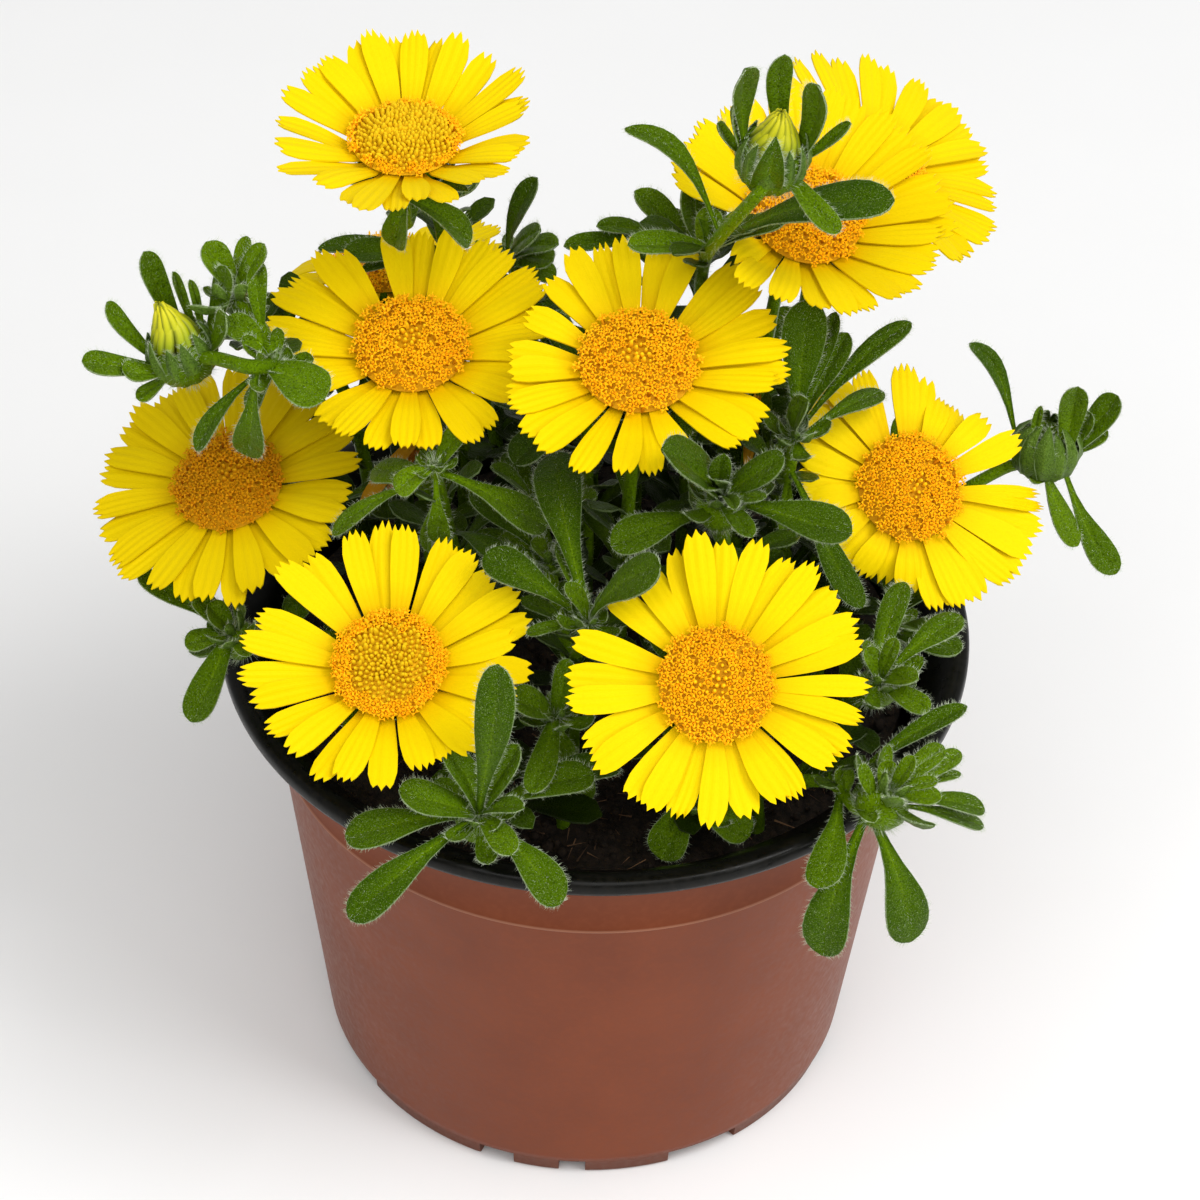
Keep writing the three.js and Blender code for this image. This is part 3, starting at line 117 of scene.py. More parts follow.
# The open heads. Each has its disc's centre pixel and height, the compass angle it faces, its lean from
# straight up, the angle its rays rise by, the disc's radius, the share of the disc whose florets are
# still closed, and its rays as (angle, reach, drop at the tip). Some have points of their stem above its
# foot, leaves in the form of the leafy stems' ones, withered petals in that form too, but ending with
# how yellow they are, or an age, which darkens the head with an older colour and painted shade.
BLOOMS = [
    dict(
        name="front_right", centre=(716, 684), high=118, faces=-88, lean=43, cup=10, disc=8.7, closed=0.25,
        rays=[(1, 22.8), (16, 22.5), (27, 23), (38.5, 22.6), (50.5, 23), (62, 21.6), (75, 22.4), (87, 21.3),
              (99.5, 22.8), (110, 21, 2), (124, 21, 5), (140, 21.4, 5), (163.5, 22.2), (178.5, 22.2),
              (190.5, 22.2), (205, 21.6), (215.5, 22), (234.5, 21.2), (243.5, 21.1), (256.5, 20.6),
              (271.5, 21.3), (285, 20.3), (299, 20), (310, 20.7), (328, 21), (338, 22), (350, 22.2)],
        foot=foot(14, -32)),
    dict(
        name="front_left", centre=(388, 663), high=112, faces=-95, lean=25, cup=20.6, disc=8.5, closed=0.74,
        rays=[(8.5, 19.5), (16.5, 22.2), (29, 22), (43, 20.4), (55.5, 21), (64, 21.4), (82.5, 21.2),
              (95, 22.2), (108.5, 21.2), (127, 20.7), (138, 22), (160, 21), (175, 22), (189, 22.3),
              (200, 21.4), (216.5, 21.2), (228, 21), (246, 22), (256, 20.8), (270.5, 21.2), (289.5, 19),
              (301, 18.4), (312, 20.4), (328, 19.3), (343, 20.4), (356, 22)],
        foot=foot(-22, -30)),
    dict(
        name="left_middle", centre=(411, 342), high=140, faces=-95, lean=16, cup=17.8, disc=8.9, closed=0.3,
        rays=[(5, 21), (14, 21.6), (23, 22.2), (34.5, 22.7), (49, 21.8), (58, 21.8), (71, 21), (88.5, 20.6),
              (100, 20.5), (129.5, 20.3), (138.5, 21.4), (149.5, 21.6), (160.5, 22.7), (175, 22.4),
              (186, 22.4), (196, 20.5), (212, 19.6), (232, 20.4), (244.5, 21.2), (259, 21.5), (270.5, 21.3),
              (281.5, 21), (297.5, 23.2), (309.5, 21), (324, 20), (339, 19.5), (352, 20)],
        foot=foot(-26, 2),
        withered=[(404, 462, 118, 362, 508, 114, 17, 1), (404, 470, 116, 388, 496, 112, 12, 0),
                  (408, 456, 120, 421, 447, 124, 17, 1)]),
    dict(
        name="centre", centre=(638, 359), high=146, faces=-90, lean=18, cup=14.7, disc=9.2, closed=0.25,
        rays=[(5, 22.7), (20.5, 22), (34, 22.4), (48, 22.6), (69, 21.4), (81, 21.6), (96.5, 21.4), (106, 21),
              (121, 21.2), (134, 20), (157, 18.6), (177, 19.6), (190, 19.6), (200, 20.6), (209, 21.6),
              (219, 22.4), (232.5, 22.8), (248.5, 22.6), (267, 21.7), (277, 20.8), (290, 20.6), (313, 22),
              (323, 22.5), (333.5, 22), (345.5, 21.4), (354.5, 22.8)],
        foot=foot(4, 0)),
    dict(
        name="left", centre=(227, 480), high=118, faces=-120, lean=20, cup=5.2, disc=8.8, closed=0.2, age_and_painted_shade=1,
        rays=[(6, 21), (21, 21), (34, 20.6), (52, 21), (64, 21.4), (76, 21.4), (89, 21.4), (107, 22.4),
              (115, 21), (126, 21.6), (137, 22), (147, 21.6), (160, 21.2), (170, 21), (189, 21.4),
              (200, 21.4), (215, 22), (227, 22.4), (242.5, 21.4), (252.5, 21.6), (264.5, 21.5), (277, 22.4),
              (287, 21.6), (300, 21), (312, 21), (325, 20.5), (337, 20.5), (351, 19.8)],
        foot=foot(-42, -4)),
    dict(
        name="right", centre=(911, 487), high=118, faces=-70, lean=40, cup=5.2, disc=8.5, closed=0.2,
        rays=[(3, 21), (26, 20.6), (44.5, 18.4, 3), (57, 17, 4), (70, 16.6, 4), (83, 18.6, 2), (93, 19.8),
              (117, 20), (129, 21.8), (138.5, 22), (148, 20.6), (158, 19), (168, 18.6), (178, 18, 1),
              (190, 17, 2), (201, 16.6, 2), (213, 16, 2), (227, 16, 3), (243, 15.6, 3), (256, 15, 3),
              (270, 16.4, 2), (285, 19.6), (295, 20.2), (307, 20.6), (319, 21.6), (328, 22), (337, 22),
              (347, 22.4), (356, 22)],
        foot=foot(36, -2)),
    dict(
        name="top_left", centre=(405, 136), high=172, faces=-90, lean=4, cup=24.8, disc=8.2, closed=0.9,
        rays=[(12, 18), (20, 19.2), (31, 20.4), (50, 20), (66, 20.6), (76, 20.6), (87.5, 20.6), (96, 20),
              (106, 20.4), (117, 20), (131, 19), (144, 19.2), (164, 19.2), (184, 19), (204, 20), (219, 22.4),
              (235, 19.6), (249.5, 21), (259, 24.6), (268.5, 21), (280, 18.8), (292, 19), (309, 18.4),
              (322, 19), (336, 18.3), (349, 19)],
        foot=foot(-22, 24), stem=[at(-24, 25, 130), at(-28, 20, 156)],
        leaves=[(398, 190, 160, 394, 247, 151, 30), (445, 182, 161, 470, 245, 152, 29),
                (424, 222, 146, 480, 176, 158, 26), (398, 262, 138, 344, 252, 139, 28),
                (396, 272, 136, 318, 248, 137, 18), (398, 276, 135, 360, 271, 136, 12)]),
    dict(
        name="top_right", centre=(808, 212), high=160, faces=-60, lean=22, cup=31, disc=8.9, closed=0.25,
        rays=[(5, 21), (18, 20.6), (31, 20.4), (44, 20.4), (57, 20.4), (70, 20.4), (83, 20.2), (96, 20),
              (109, 20), (124, 19.4), (139, 19.6), (152, 21), (165, 21.2), (176, 22.4), (184, 22.6),
              (203, 13), (224, 16, 2), (237, 21), (255.5, 21), (273, 20.2), (283, 22), (293, 21),
              (307, 21.5), (317, 21.6), (327, 21), (337, 20.6), (347, 20.2), (355, 22)],
        foot=foot(22, 10), withered=[(762, 440, 124, 747, 465, 119, 13, 1)]),
    dict(
        name="top_right_back", centre=(882, 160), high=150, faces=-10, lean=30, cup=13, disc=8.6, closed=0.3,
        rays=[(12, 21.4), (24, 22), (35, 23.4), (44, 24), (53, 24), (62, 24), (71, 23.4), (85, 22.6),
              (97, 22.4), (112, 21.4), (128, 21.6), (143, 21.4), (158, 22), (173, 21), (188, 21), (203, 21),
              (218, 21), (233, 21), (248, 21), (263, 21), (278, 21.6), (292, 21.4), (306, 21.6), (319, 21),
              (332, 21), (346, 21.4), (359, 21)],
        foot=foot(30, 24)),
    dict(
        name="back_left", centre=(385, 262), high=128, faces=95, lean=8, cup=10, disc=8.4, closed=0.3,
        rays=[(6, 20.6), (20, 21), (33, 21.4), (45, 21), (60, 18.4, 4), (90, 17.4, 6), (132, 17.2, 6),
              (170, 17, 5), (205, 18, 3), (232, 19), (260, 20), (284, 20.4), (300, 20.6), (338, 20.6)],
        foot=foot(-32, 32)),
]

# The leafy stems. A stem is a list of points. A leaf is (root x, root y, root height, tip x, tip y,
# tip height, width, bend): pixels for x, y and the width, millimetres for the heights, and a sideways
# bend as a share of the length. A shoot may have a heart, the size of the young leaves at its tip (1 if
# not given), and it may be tender, with paler leaves, or carry painted shade on its leaves and hearts.
# Its bare length in millimetres, under the tip, has no inner leaves. A bud sits on the stem that it
# numbers. Its rays show or not, and a long bract may stand at a compass angle.
SHOOTS = [
    dict(
        name="left_bud",
        stems=[
            [*foot(-36, 16), at(-42, 16, 120), at(-53.5, 5, 135), seen(276, 365, 146)],
            [seen(276, 365, 146), seen(251, 367, 148), seen(213, 358, 146), seen(190, 360, 143)],
            [seen(276, 365, 146), seen(262, 330, 149), seen(236, 296, 152)],
        ],
        leaves=[
            (167, 310, 150, 144, 252, 160, 25), (182, 310, 150, 173, 272, 158, 11),
            (156, 330, 148, 107, 302, 152, 18), (160, 345, 146, 82, 361, 146, 25),
            (163, 355, 145, 122, 369, 144, 21), (175, 371, 141, 136, 398, 137, 16),
            (202, 333, 148, 225, 314, 153, 20), (200, 318, 149, 225, 266, 159, 21),
            (190, 310, 151, 190, 280, 158, 8),
            (232, 298, 151, 206, 242, 160, 28), (236, 298, 152, 264, 244, 161, 21),
            (238, 298, 152, 247, 236, 159, 16), (264, 335, 148, 259, 261, 158, 21),
            (268, 362, 146, 223, 321, 150, 28), (280, 369, 147, 324, 400, 146, 46),
            (255, 369, 147, 247, 456, 131, 34), (272, 370, 145, 247, 411, 138, 21),
            (268, 375, 143, 196, 451, 132, 19),
        ],
        bud=dict(centre=(184, 356), high=143, apex=(158, 302), apex_high=153, rays=True, stem=1)),
    dict(
        name="top_bud", tender=0.3, bare=24,
        stems=[
            [*foot(14, 22), at(15, 22, 128), seen(703, 266, 149), seen(722, 234, 167), seen(764, 186, 180)],
        ],
        leaves=[
            (783, 130, 186, 785, 55, 198, 26), (760, 142, 185, 747, 69, 201, 22),
            (755, 142, 185, 736, 103, 194, 9), (755, 150, 183, 718, 123, 188, 14),
            (797, 140, 185, 817, 85, 197, 21), (796, 152, 183, 851, 123, 188, 14),
            (744, 208, 168, 625, 128, 178, 22, -0.17), (768, 187, 176, 839, 233, 172, 23),
            (740, 240, 160, 894, 200, 176, 37), (726, 248, 157, 786, 221, 166, 20),
            (708, 262, 148, 689, 181, 166, 23), (719, 248, 154, 712, 207, 163, 22),
            (728, 236, 158, 738, 212, 164, 10), (708, 254, 158, 628, 245, 162, 27),
            (700, 262, 144, 635, 191, 158, 26),
        ],
        bud=dict(
            centre=(771, 163), high=181, apex=(782, 109), apex_high=191, rays=True, stem=0, bract=-98)),
    dict(
        name="right_bud", tender=0.1, bare=20,
        stems=[
            [*foot(38, 10, 84), at(50, 12, 96), seen(985, 478, 104), seen(1018, 464, 106),
             seen(1040, 468, 106)],
        ],
        leaves=[
            (1045, 435, 112, 1041, 406, 118, 9), (1055, 436, 112, 1078, 387, 123, 25),
            (1066, 444, 110, 1118, 396, 119, 27), (1064, 442, 110, 1091, 413, 116, 18),
            (1064, 456, 107, 1108, 431, 111, 14), (1012, 458, 108, 1044, 482, 106, 22),
            (1016, 462, 107, 970, 343, 126, 19, -0.14), (1042, 484, 103, 1078, 546, 95, 25),
            (1060, 500, 100, 1116, 574, 90, 28),
        ],
        bud=dict(centre=(1045, 454), high=108, apex=(1052, 412), apex_high=116, rays=False, stem=0)),
    dict(
        name="back_middle",
        stems=[[*foot(-8, 32), at(-10, 33, 120), seen(508, 262, 132)]],
        leaves=[
            (506, 250, 134, 537, 178, 150, 20), (512, 262, 132, 553, 260, 136, 26),
            (512, 252, 134, 540, 229, 142, 18), (514, 262, 133, 558, 244, 140, 20),
            (512, 272, 130, 556, 276, 131, 22),
        ]),
    dict(
        name="back_right",
        stems=[[*foot(6, 34), at(8, 33, 120), seen(668, 246, 138)]],
        leaves=[
            (655, 250, 138, 564, 246, 143, 18), (660, 240, 139, 597, 226, 146, 16),
            (670, 238, 140, 700, 218, 146, 20),
        ]),
    dict(
        name="centre_left", tender=0.4, heart=0.6,
        stems=[[*foot(-18, -12), at(-22, -13, 110), seen(434, 465, 131)]],
        leaves=[
            (436, 462, 130, 464, 425, 136, 21), (436, 455, 132, 396, 492, 128, 27),
            (412, 478, 128, 332, 534, 118, 19), (438, 468, 130, 441, 543, 116, 23),
            (432, 470, 126, 427, 551, 112, 14), (446, 460, 130, 547, 527, 120, 36),
            (426, 468, 126, 372, 470, 122, 28),
        ]),
    dict(
        name="middle", shade=0.25,
        stems=[
            [*foot(-3, -24), at(-3, -28, 100), seen(588, 622, 120)],
            [at(-3, -27, 96), seen(548, 562, 112)],
        ],
        leaves=[
            (590, 608, 121, 556, 452, 129, 48), (594, 610, 124, 660, 566, 135, 38),
            (572, 620, 121, 485, 553, 125, 36), (573, 631, 119, 526, 633, 118, 13),
            (583, 620, 122, 566, 583, 127, 18), (575, 612, 121, 558, 543, 124, 15),
            (540, 556, 114, 470, 490, 122, 28), (548, 556, 112, 500, 536, 113, 24),
            (540, 566, 113, 477, 553, 116, 15), (552, 555, 113, 531, 541, 117, 14),
        ]),
    dict(
        name="centre_rosette", heart=1.15, shade=0.35,
        stems=[[*foot(20, -16), at(20, -20, 110), seen(719, 500, 133)]],
        leaves=[
            (708, 489, 136, 662, 449, 147, 36), (722, 486, 136, 724, 454, 143, 23),
            (730, 488, 136, 784, 456, 142, 31), (740, 504, 135, 852, 533, 132, 38),
            (724, 512, 134, 752, 537, 134, 21), (736, 500, 136, 766, 497, 138, 14),
            (700, 500, 131, 611, 546, 129, 36), (714, 500, 137, 700, 488, 141, 14),
            (722, 504, 137, 735, 510, 139, 12), (716, 494, 138, 716, 480, 142, 12),
        ]),
    dict(
        name="right_middle", shade=0.2,
        stems=[[*foot(31, 6), at(26, 12, 112), seen(786, 480, 120), seen(795, 436, 131)]],
        leaves=[
            (790, 440, 132, 808, 400, 140, 25), (800, 428, 133, 808, 300, 152, 46),
            (808, 420, 131, 848, 333, 146, 28), (806, 415, 132, 836, 312, 148, 20),
            (812, 410, 132, 911, 322, 144, 22), (806, 425, 130, 884, 392, 130, 20),
            (795, 470, 124, 862, 608, 112, 30), (788, 490, 120, 790, 546, 114, 18),
            (785, 470, 124, 776, 444, 128, 14),
        ]),
    dict(
        name="left_low", heart=1.05,
        stems=[[*foot(-40, -16, 84), at(-47, -18, 92), seen(232, 634, 97)]],
        leaves=[
            (223, 650, 97, 191, 722, 88, 34), (222, 636, 98, 185, 645, 97, 22),
            (228, 624, 98, 208, 604, 103, 20), (238, 640, 98, 250, 656, 98, 16),
            (226, 622, 97, 194, 592, 104, 20), (224, 612, 97, 138, 572, 106, 22),
        ]),
    dict(
        name="front_rosette", heart=1.25,
        stems=[[*foot(-14, -40, 84), seen(479, 815, 94)]],
        leaves=[
            (488, 784, 101, 498, 665, 125, 42), (492, 795, 99, 519, 745, 108, 27),
            (505, 806, 97, 594, 774, 99, 34), (505, 812, 94, 620, 766, 93, 28),
            (505, 822, 95, 561, 904, 87, 38), (492, 824, 97, 511, 855, 95, 29),
            (496, 812, 99, 524, 808, 101, 18), (455, 830, 95, 349, 919, 84, 38),
            (450, 812, 97, 345, 837, 91, 36), (460, 804, 98, 399, 790, 101, 33),
            (468, 796, 99, 445, 750, 107, 26),
        ]),
    dict(
        name="low_middle",
        stems=[[*foot(-4, -38), seen(555, 716, 101)]],
        leaves=[
            (551, 722, 101, 530, 793, 99, 29), (548, 715, 102, 510, 697, 107, 28),
            (556, 712, 103, 569, 659, 112, 25), (558, 725, 98, 566, 762, 91, 20),
            (560, 740, 92, 585, 806, 82, 28),
        ]),
    dict(
        name="right_small", heart=1.05,
        stems=[[*foot(38, -24, 86), seen(879, 682, 102)]],
        leaves=[
            (886, 674, 104, 896, 638, 111, 17), (886, 684, 104, 918, 679, 107, 20),
            (884, 694, 102, 930, 710, 102, 22), (873, 672, 104, 866, 648, 109, 18),
            (890, 674, 104, 962, 616, 107, 27), (876, 664, 101, 905, 582, 108, 26),
        ]),
    dict(
        name="right_cluster", heart=1.35,
        stems=[[*foot(26, -38, 84), seen(830, 782, 92), seen(862, 810, 94), seen(890, 794, 97)]],
        leaves=[
            (892, 780, 96, 943, 745, 100, 22), (905, 785, 96, 961, 752, 99, 20),
            (905, 790, 95, 961, 773, 96, 12), (898, 790, 98, 914, 756, 104, 17),
            (890, 796, 94, 985, 810, 91, 20), (886, 800, 92, 984, 826, 87, 16),
            (858, 776, 95, 967, 706, 106, 20), (860, 822, 95, 823, 956, 72, 46),
            (862, 826, 95, 911, 942, 74, 43), (830, 805, 91, 817, 888, 88, 38),
            (852, 806, 95, 875, 822, 97, 14), (885, 790, 95, 890, 760, 101, 20),
            (892, 792, 98, 941, 799, 100, 20), (850, 796, 93, 843, 766, 99, 20),
            (872, 796, 97, 861, 764, 103, 15), (900, 788, 98, 938, 781, 101, 13),
        ]),
    dict(
        name="front_low",
        stems=[[*foot(12, -40, 80), seen(690, 800, 84)]],
        leaves=[
            (686, 800, 84, 662, 860, 78, 40), (700, 800, 85, 750, 836, 81, 36),
            (694, 790, 86, 740, 780, 90, 30), (684, 794, 85, 640, 780, 88, 26),
        ]),
]

# Extra leafy stems, mostly behind: (compass angle, distance from the middle, height, leaves)
FILLERS = [
    (58, 48, 106, 7), (92, 52, 98, 6), (118, 46, 108, 7), (166, 50, 100, 6), (18, 50, 102, 6),
    (98, 17, 120, 6), (-12, 49, 92, 5), (140, 12, 99, 4),
]


class Draws:
    """The seeded draws that the solids were made with."""

    def __init__(self, seed):
        self.state = seed

    def between(self, low, high):
        self.state = (self.state * 16807) % 2147483647
        return low + (high - low) * self.state / 2147483647


draws = Draws(SEED)


def unit(vector):
    vector = np.asarray(vector, float)
    return vector / np.linalg.norm(vector, axis=-1, keepdims=True)


def compass(degrees):
    return np.array([math.cos(math.radians(degrees)), math.sin(math.radians(degrees)), 0])


def smooth_curve(points, spacing=1.5 * MM):
    """Points along a smooth curve through the given ones."""
    given = np.array(points)
    given = np.vstack([2 * given[0] - given[1], given, 2 * given[-1] - given[-2]])
    steps = np.sqrt(np.linalg.norm(np.diff(given, axis=0), axis=1))
    knots = np.concatenate([[0], np.cumsum(steps)])
    found = []
    for i in range(1, len(given) - 2):
        p0, p1, p2, p3 = given[i - 1:i + 3]
        t0, t1, t2, t3 = knots[i - 1:i + 3]
        count = max(2, math.ceil(np.linalg.norm(p2 - p1) / spacing))
        t = np.linspace(t1, t2, count, endpoint=False)[:, None]
        a1 = ((t1 - t) * p0 + (t - t0) * p1) / (t1 - t0)
        a2 = ((t2 - t) * p1 + (t - t1) * p2) / (t2 - t1)
        a3 = ((t3 - t) * p2 + (t - t2) * p3) / (t3 - t2)
        b1 = ((t2 - t) * a1 + (t - t0) * a2) / (t2 - t0)
        b2 = ((t3 - t) * a2 + (t - t1) * a3) / (t3 - t1)
        found.append(((t2 - t) * b1 + (t - t1) * b2) / (t2 - t1))
    return np.vstack([*found, given[-2:-1]])


def lengths_along(path):
    """How far along a path each of its points is."""
    return np.concatenate([[0], np.cumsum(np.linalg.norm(np.diff(path, axis=0), axis=1))])


def nearest(points, place):
    return points[np.argmin(np.linalg.norm(points - place, axis=1))]


def part_way(points, places):
    """Points between the given ones, where 2.3 is a little past the third."""
    low = places.astype(int)
    part = (places - low)[:, None]
    return points[low] * (1 - part) + points[low + 1] * part


# What a surface's material reads at each point: how far out along its petal or leaf the point is, where
# it is across it, a tone drawn for the whole of it, how young it is, whether it is an underside, and how
# much it is darkened by painted shade deep in the plant, with the darker colour of old leaves and heads
VALUES = ("along", "across", "tone", "young", "under", "deep")
SHARP_ANGLE = math.radians(62)


def in_scene(name, data):
    """A new object of the scene."""
    thing = bpy.data.objects.new(name, data)
    bpy.context.scene.collection.objects.link(thing)
    return thing


class Shape:
    """Gathers the points, faces and values of one piece."""

    def __init__(self):
        self.points, self.faces, self.finishes = [], [], []
        self.values = {name: [] for name in VALUES}
        self.count = 0

    def add(self, points, faces, finish=0, **values):
        """Adds points, and groups of faces that may each have a finish."""
        points = np.asarray(points, float).reshape(-1, 3)
        for some, one in zip(faces, np.broadcast_to(finish, len(faces)).tolist()):
            self.faces.extend((np.asarray(some) + self.count).tolist())
            self.finishes.extend([one] * len(some))
        for name in VALUES:
            self.values[name].append(np.broadcast_to(values.get(name, 0.0), len(points)))
        self.points.append(points)
        self.count += len(points)

    def made(self, name, finishes, slot, *nodes):
        """The piece itself, riding on the part and standing for its CAD nodes."""
        mesh = bpy.data.meshes.new(name)
        mesh.from_pydata(np.concatenate(self.points), [], self.faces)
        mesh.polygons.foreach_set("material_index", self.finishes)
        mesh.polygons.foreach_set("use_smooth", [True] * len(self.faces))
        mesh.set_sharp_from_angle(angle=SHARP_ANGLE)
        for value, parts in self.values.items():
            attribute = mesh.attributes.new(value, "FLOAT", "POINT")
            attribute.data.foreach_set("value", np.concatenate(parts).astype(np.float32))
        for finish in finishes:
            mesh.materials.append(finish)
        mesh.update()
        piece = in_scene(name, mesh)
        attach(piece, "root")
        if nodes:
            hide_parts(*nodes)
        return piece


def grid_faces(rows, columns, closed=False):
    """Four-cornered faces over a grid of points, its last column joined to its first if closed."""
    index = np.arange(rows * columns).reshape(rows, columns)
    if closed:
        index = np.hstack([index, index[:, :1]])
    return np.stack([index[:-1, :-1], index[1:, :-1], index[1:, 1:], index[:-1, 1:]], -1).reshape(-1, 4)


def stacked_faces(rows, columns):
    """The walls of a stack of rings, and fans from its two ends to the two points after the rings."""
    count = rows * columns
    around = np.arange(columns)
    onward = np.roll(around, -1)
    low = np.stack([np.full(columns, count), onward, around], -1)
    high = np.stack([np.full(columns, count + 1), around + count - columns, onward + count - columns], -1)
    return [grid_faces(rows, columns, closed=True)[:, ::-1], low, high]


def add_skin(shape, top, under, **values):
    """A closed skin between two grids of points, the first one facing up."""
    rows, columns = top.shape[:2]
    count = rows * columns
    index = np.arange(count).reshape(rows, columns)
    edge = np.concatenate([index[:-1, 0], index[-1, :-1], index[:0:-1, -1], index[0, :0:-1]])
    onward = np.roll(edge, -1)
    faces = grid_faces(rows, columns)
    rim = np.stack([onward, edge, edge + count, onward + count], -1)
    both = {name: np.tile(np.broadcast_to(value, (rows, columns)).ravel(), 2)
            for name, value in values.items()}
    both["under"] = np.repeat([0.0, 1.0], count)
    shape.add([top, under], [faces, faces[:, ::-1] + count, rim], **both)


def carried(path):
    """Two directions across a path that turn with it without twisting."""
    tangents = unit(np.gradient(path, axis=0))
    start = RIGHT if abs(tangents[0][0]) < 0.8 else UP
    first = [unit(start - tangents[0] * (start @ tangents[0]))]
    for tangent in tangents[1:]:
        first.append(unit(first[-1] - tangent * (first[-1] @ tangent)))
    first = np.array(first)
    return first, np.cross(tangents, first)


def spokes(axis, angles):
    """Directions square to an axis, at angles round it."""
    first, second = (ways[0] for ways in carried(np.array([0 * axis, axis])))
    angles = np.asarray(angles)[..., None]
    return np.cos(angles) * first + np.sin(angles) * second


def add_tube(shape, path, radii, sides, **values):
    """A closed tube along a path."""
    first, second = carried(path)
    angles = np.linspace(0, TURN, sides, endpoint=False)[None, :, None]
    spread = np.cos(angles) * first[:, None] + np.sin(angles) * second[:, None]
    rings = path[:, None] + np.broadcast_to(radii, len(path))[:, None, None] * spread
    points = np.concatenate([rings.reshape(-1, 3), path[[0, -1]]])
    shape.add(points, stacked_faces(len(path), sides), **values)


def add_turned(shape, profile, centre, axis, segments, wave=0.0, **values):
    """A closed form turned round an axis from (radius, height) pairs that start and end on it."""
    radii, levels = np.array(profile, float).T
    angles = np.linspace(0, TURN, segments, endpoint=False)
    reach = radii[1:-1, None] * np.broadcast_to(1 + wave, segments)
    rings = centre + reach[..., None] * spokes(axis, angles) + levels[1:-1, None, None] * axis
    ends = centre + levels[[0, -1], None] * axis
    points = np.concatenate([rings.reshape(-1, 3), ends])
    shape.add(points, stacked_faces(len(levels) - 2, segments), **values)


def add_copies(shape, points, faces, places, turns, finish=0, own=None, **values):
    """Copies of one small form, each moved to a place by a three by three turn.

    The values are drawn for each copy, and the form's own ones are the same on all of them.
    """
    copies = np.einsum("nij,kj->nki", turns, points) + places[:, None]
    count = len(points)
    steps = count * np.arange(len(places))[:, None, None]
    shifted = [(some[None] + steps).reshape(-1, some.shape[1]) for some in faces]
    each = {name: np.repeat(value, count) for name, value in values.items()}
    for name, value in (own or {}).items():
        each[name] = np.tile(value, len(places))
    shape.add(copies, shifted, finish, **each)


# Hairs are thin closed spikes
HAIR = 1
HAIR_HALF_WIDTH = 0.02 * MM
SPIKE_POINTS = np.array([[1, 0, 0], [-0.5, 0.87, 0], [-0.5, -0.87, 0], [0, 0, 1]])
SPIKE_FACES = [np.array([[0, 1, 3], [1, 2, 3], [2, 0, 3], [2, 1, 0]])]


def turns_to(directions, wide, long):
    """The turn and size that stand a form built along +Z in each direction."""
    directions = unit(directions)
    helper = np.where(np.abs(directions[:, :1]) < 0.8, RIGHT, UP)
    first = unit(np.cross(directions, helper))
    second = np.cross(directions, first)
    wide = np.broadcast_to(wide, len(directions))[:, None]
    long = np.broadcast_to(long, len(directions))[:, None]
    return np.stack([first * wide, second * wide, directions * long], -1)


def add_hairs(shape, roots, directions, lengths, dice, wide=1.0, deep=0.0):
    """Pale hairs, from a shortest to a longest length in millimetres."""
    count = len(roots)
    turns = turns_to(directions, wide * HAIR_HALF_WIDTH, dice.uniform(*lengths, count) * MM)
    add_copies(shape, SPIKE_POINTS, SPIKE_FACES, roots, turns, HAIR, tone=dice.random(count),
               deep=np.full(count, deep))


# Leaf outlines as shares of the length and of the half width
LONG_LEAF = ([0, 0.12, 0.25, 0.4, 0.52, 0.64, 0.74, 0.82, 0.89, 0.945, 0.98, 1],
             [0.21, 0.2, 0.26, 0.43, 0.66, 0.88, 0.98, 1, 0.92, 0.72, 0.44, 0.08])
SHORT_LEAF = ([0, 0.14, 0.3, 0.46, 0.6, 0.72, 0.81, 0.88, 0.94, 0.975, 1],
              [0.3, 0.44, 0.64, 0.82, 0.95, 1, 0.98, 0.88, 0.68, 0.44, 0.08])
BRACT_LEAF = ([0, 0.3, 0.55, 0.75, 0.9, 1], [0.62, 0.84, 1, 0.84, 0.46, 0.06])
INNER_LEAF = ([0, 0.3, 0.5, 0.66, 0.8, 0.92, 1], [0.22, 0.3, 0.6, 0.9, 1, 0.78, 0.1])
YOUNG_LEAF = ([0, 0.3, 0.6, 0.8, 0.93, 1], [0.45, 0.75, 1, 0.92, 0.58, 0.08])
BUD_BRACT = ([0, 0.25, 0.5, 0.7, 0.86, 1], [1, 0.98, 0.84, 0.62, 0.36, 0.06])
LONG_LEAF_LENGTH = 14 * MM
OLDEST_LENGTH = 19 * MM
LEAF_COLUMNS = np.array([-1, -0.9, -0.6, -0.2, -0.06, 0.06, 0.2, 0.6, 0.9, 1])
PLAIN_COLUMNS = np.array([-1, -0.62, -0.13, 0.13, 0.62, 1])

# A leaf's form. Bows, bends and folds are shares of a length or a width.
LEAF_BOW = 0.1
LEAF_SICKLE = (-0.05, 0.05)
LEAF_FOLD = (-0.02, 0.4)
LEAF_WAVE = 0.06
LEAF_WAVE_START = (0, 6.3)
LEAF_EDGE_THINNER = 0.45
FULL_DEPTH_HALF_WIDTH = 1.2 * MM
NARROWEST = 0.05 * MM
GROOVE_DEPTH = 0.34 * MM
GROOVE_WIDTH = 0.15
MARGIN_START = 0.8
MARGIN_DROOP = 0.3
KEEL_DEPTH = 0.35 * MM
KEEL_WIDTH = 0.16


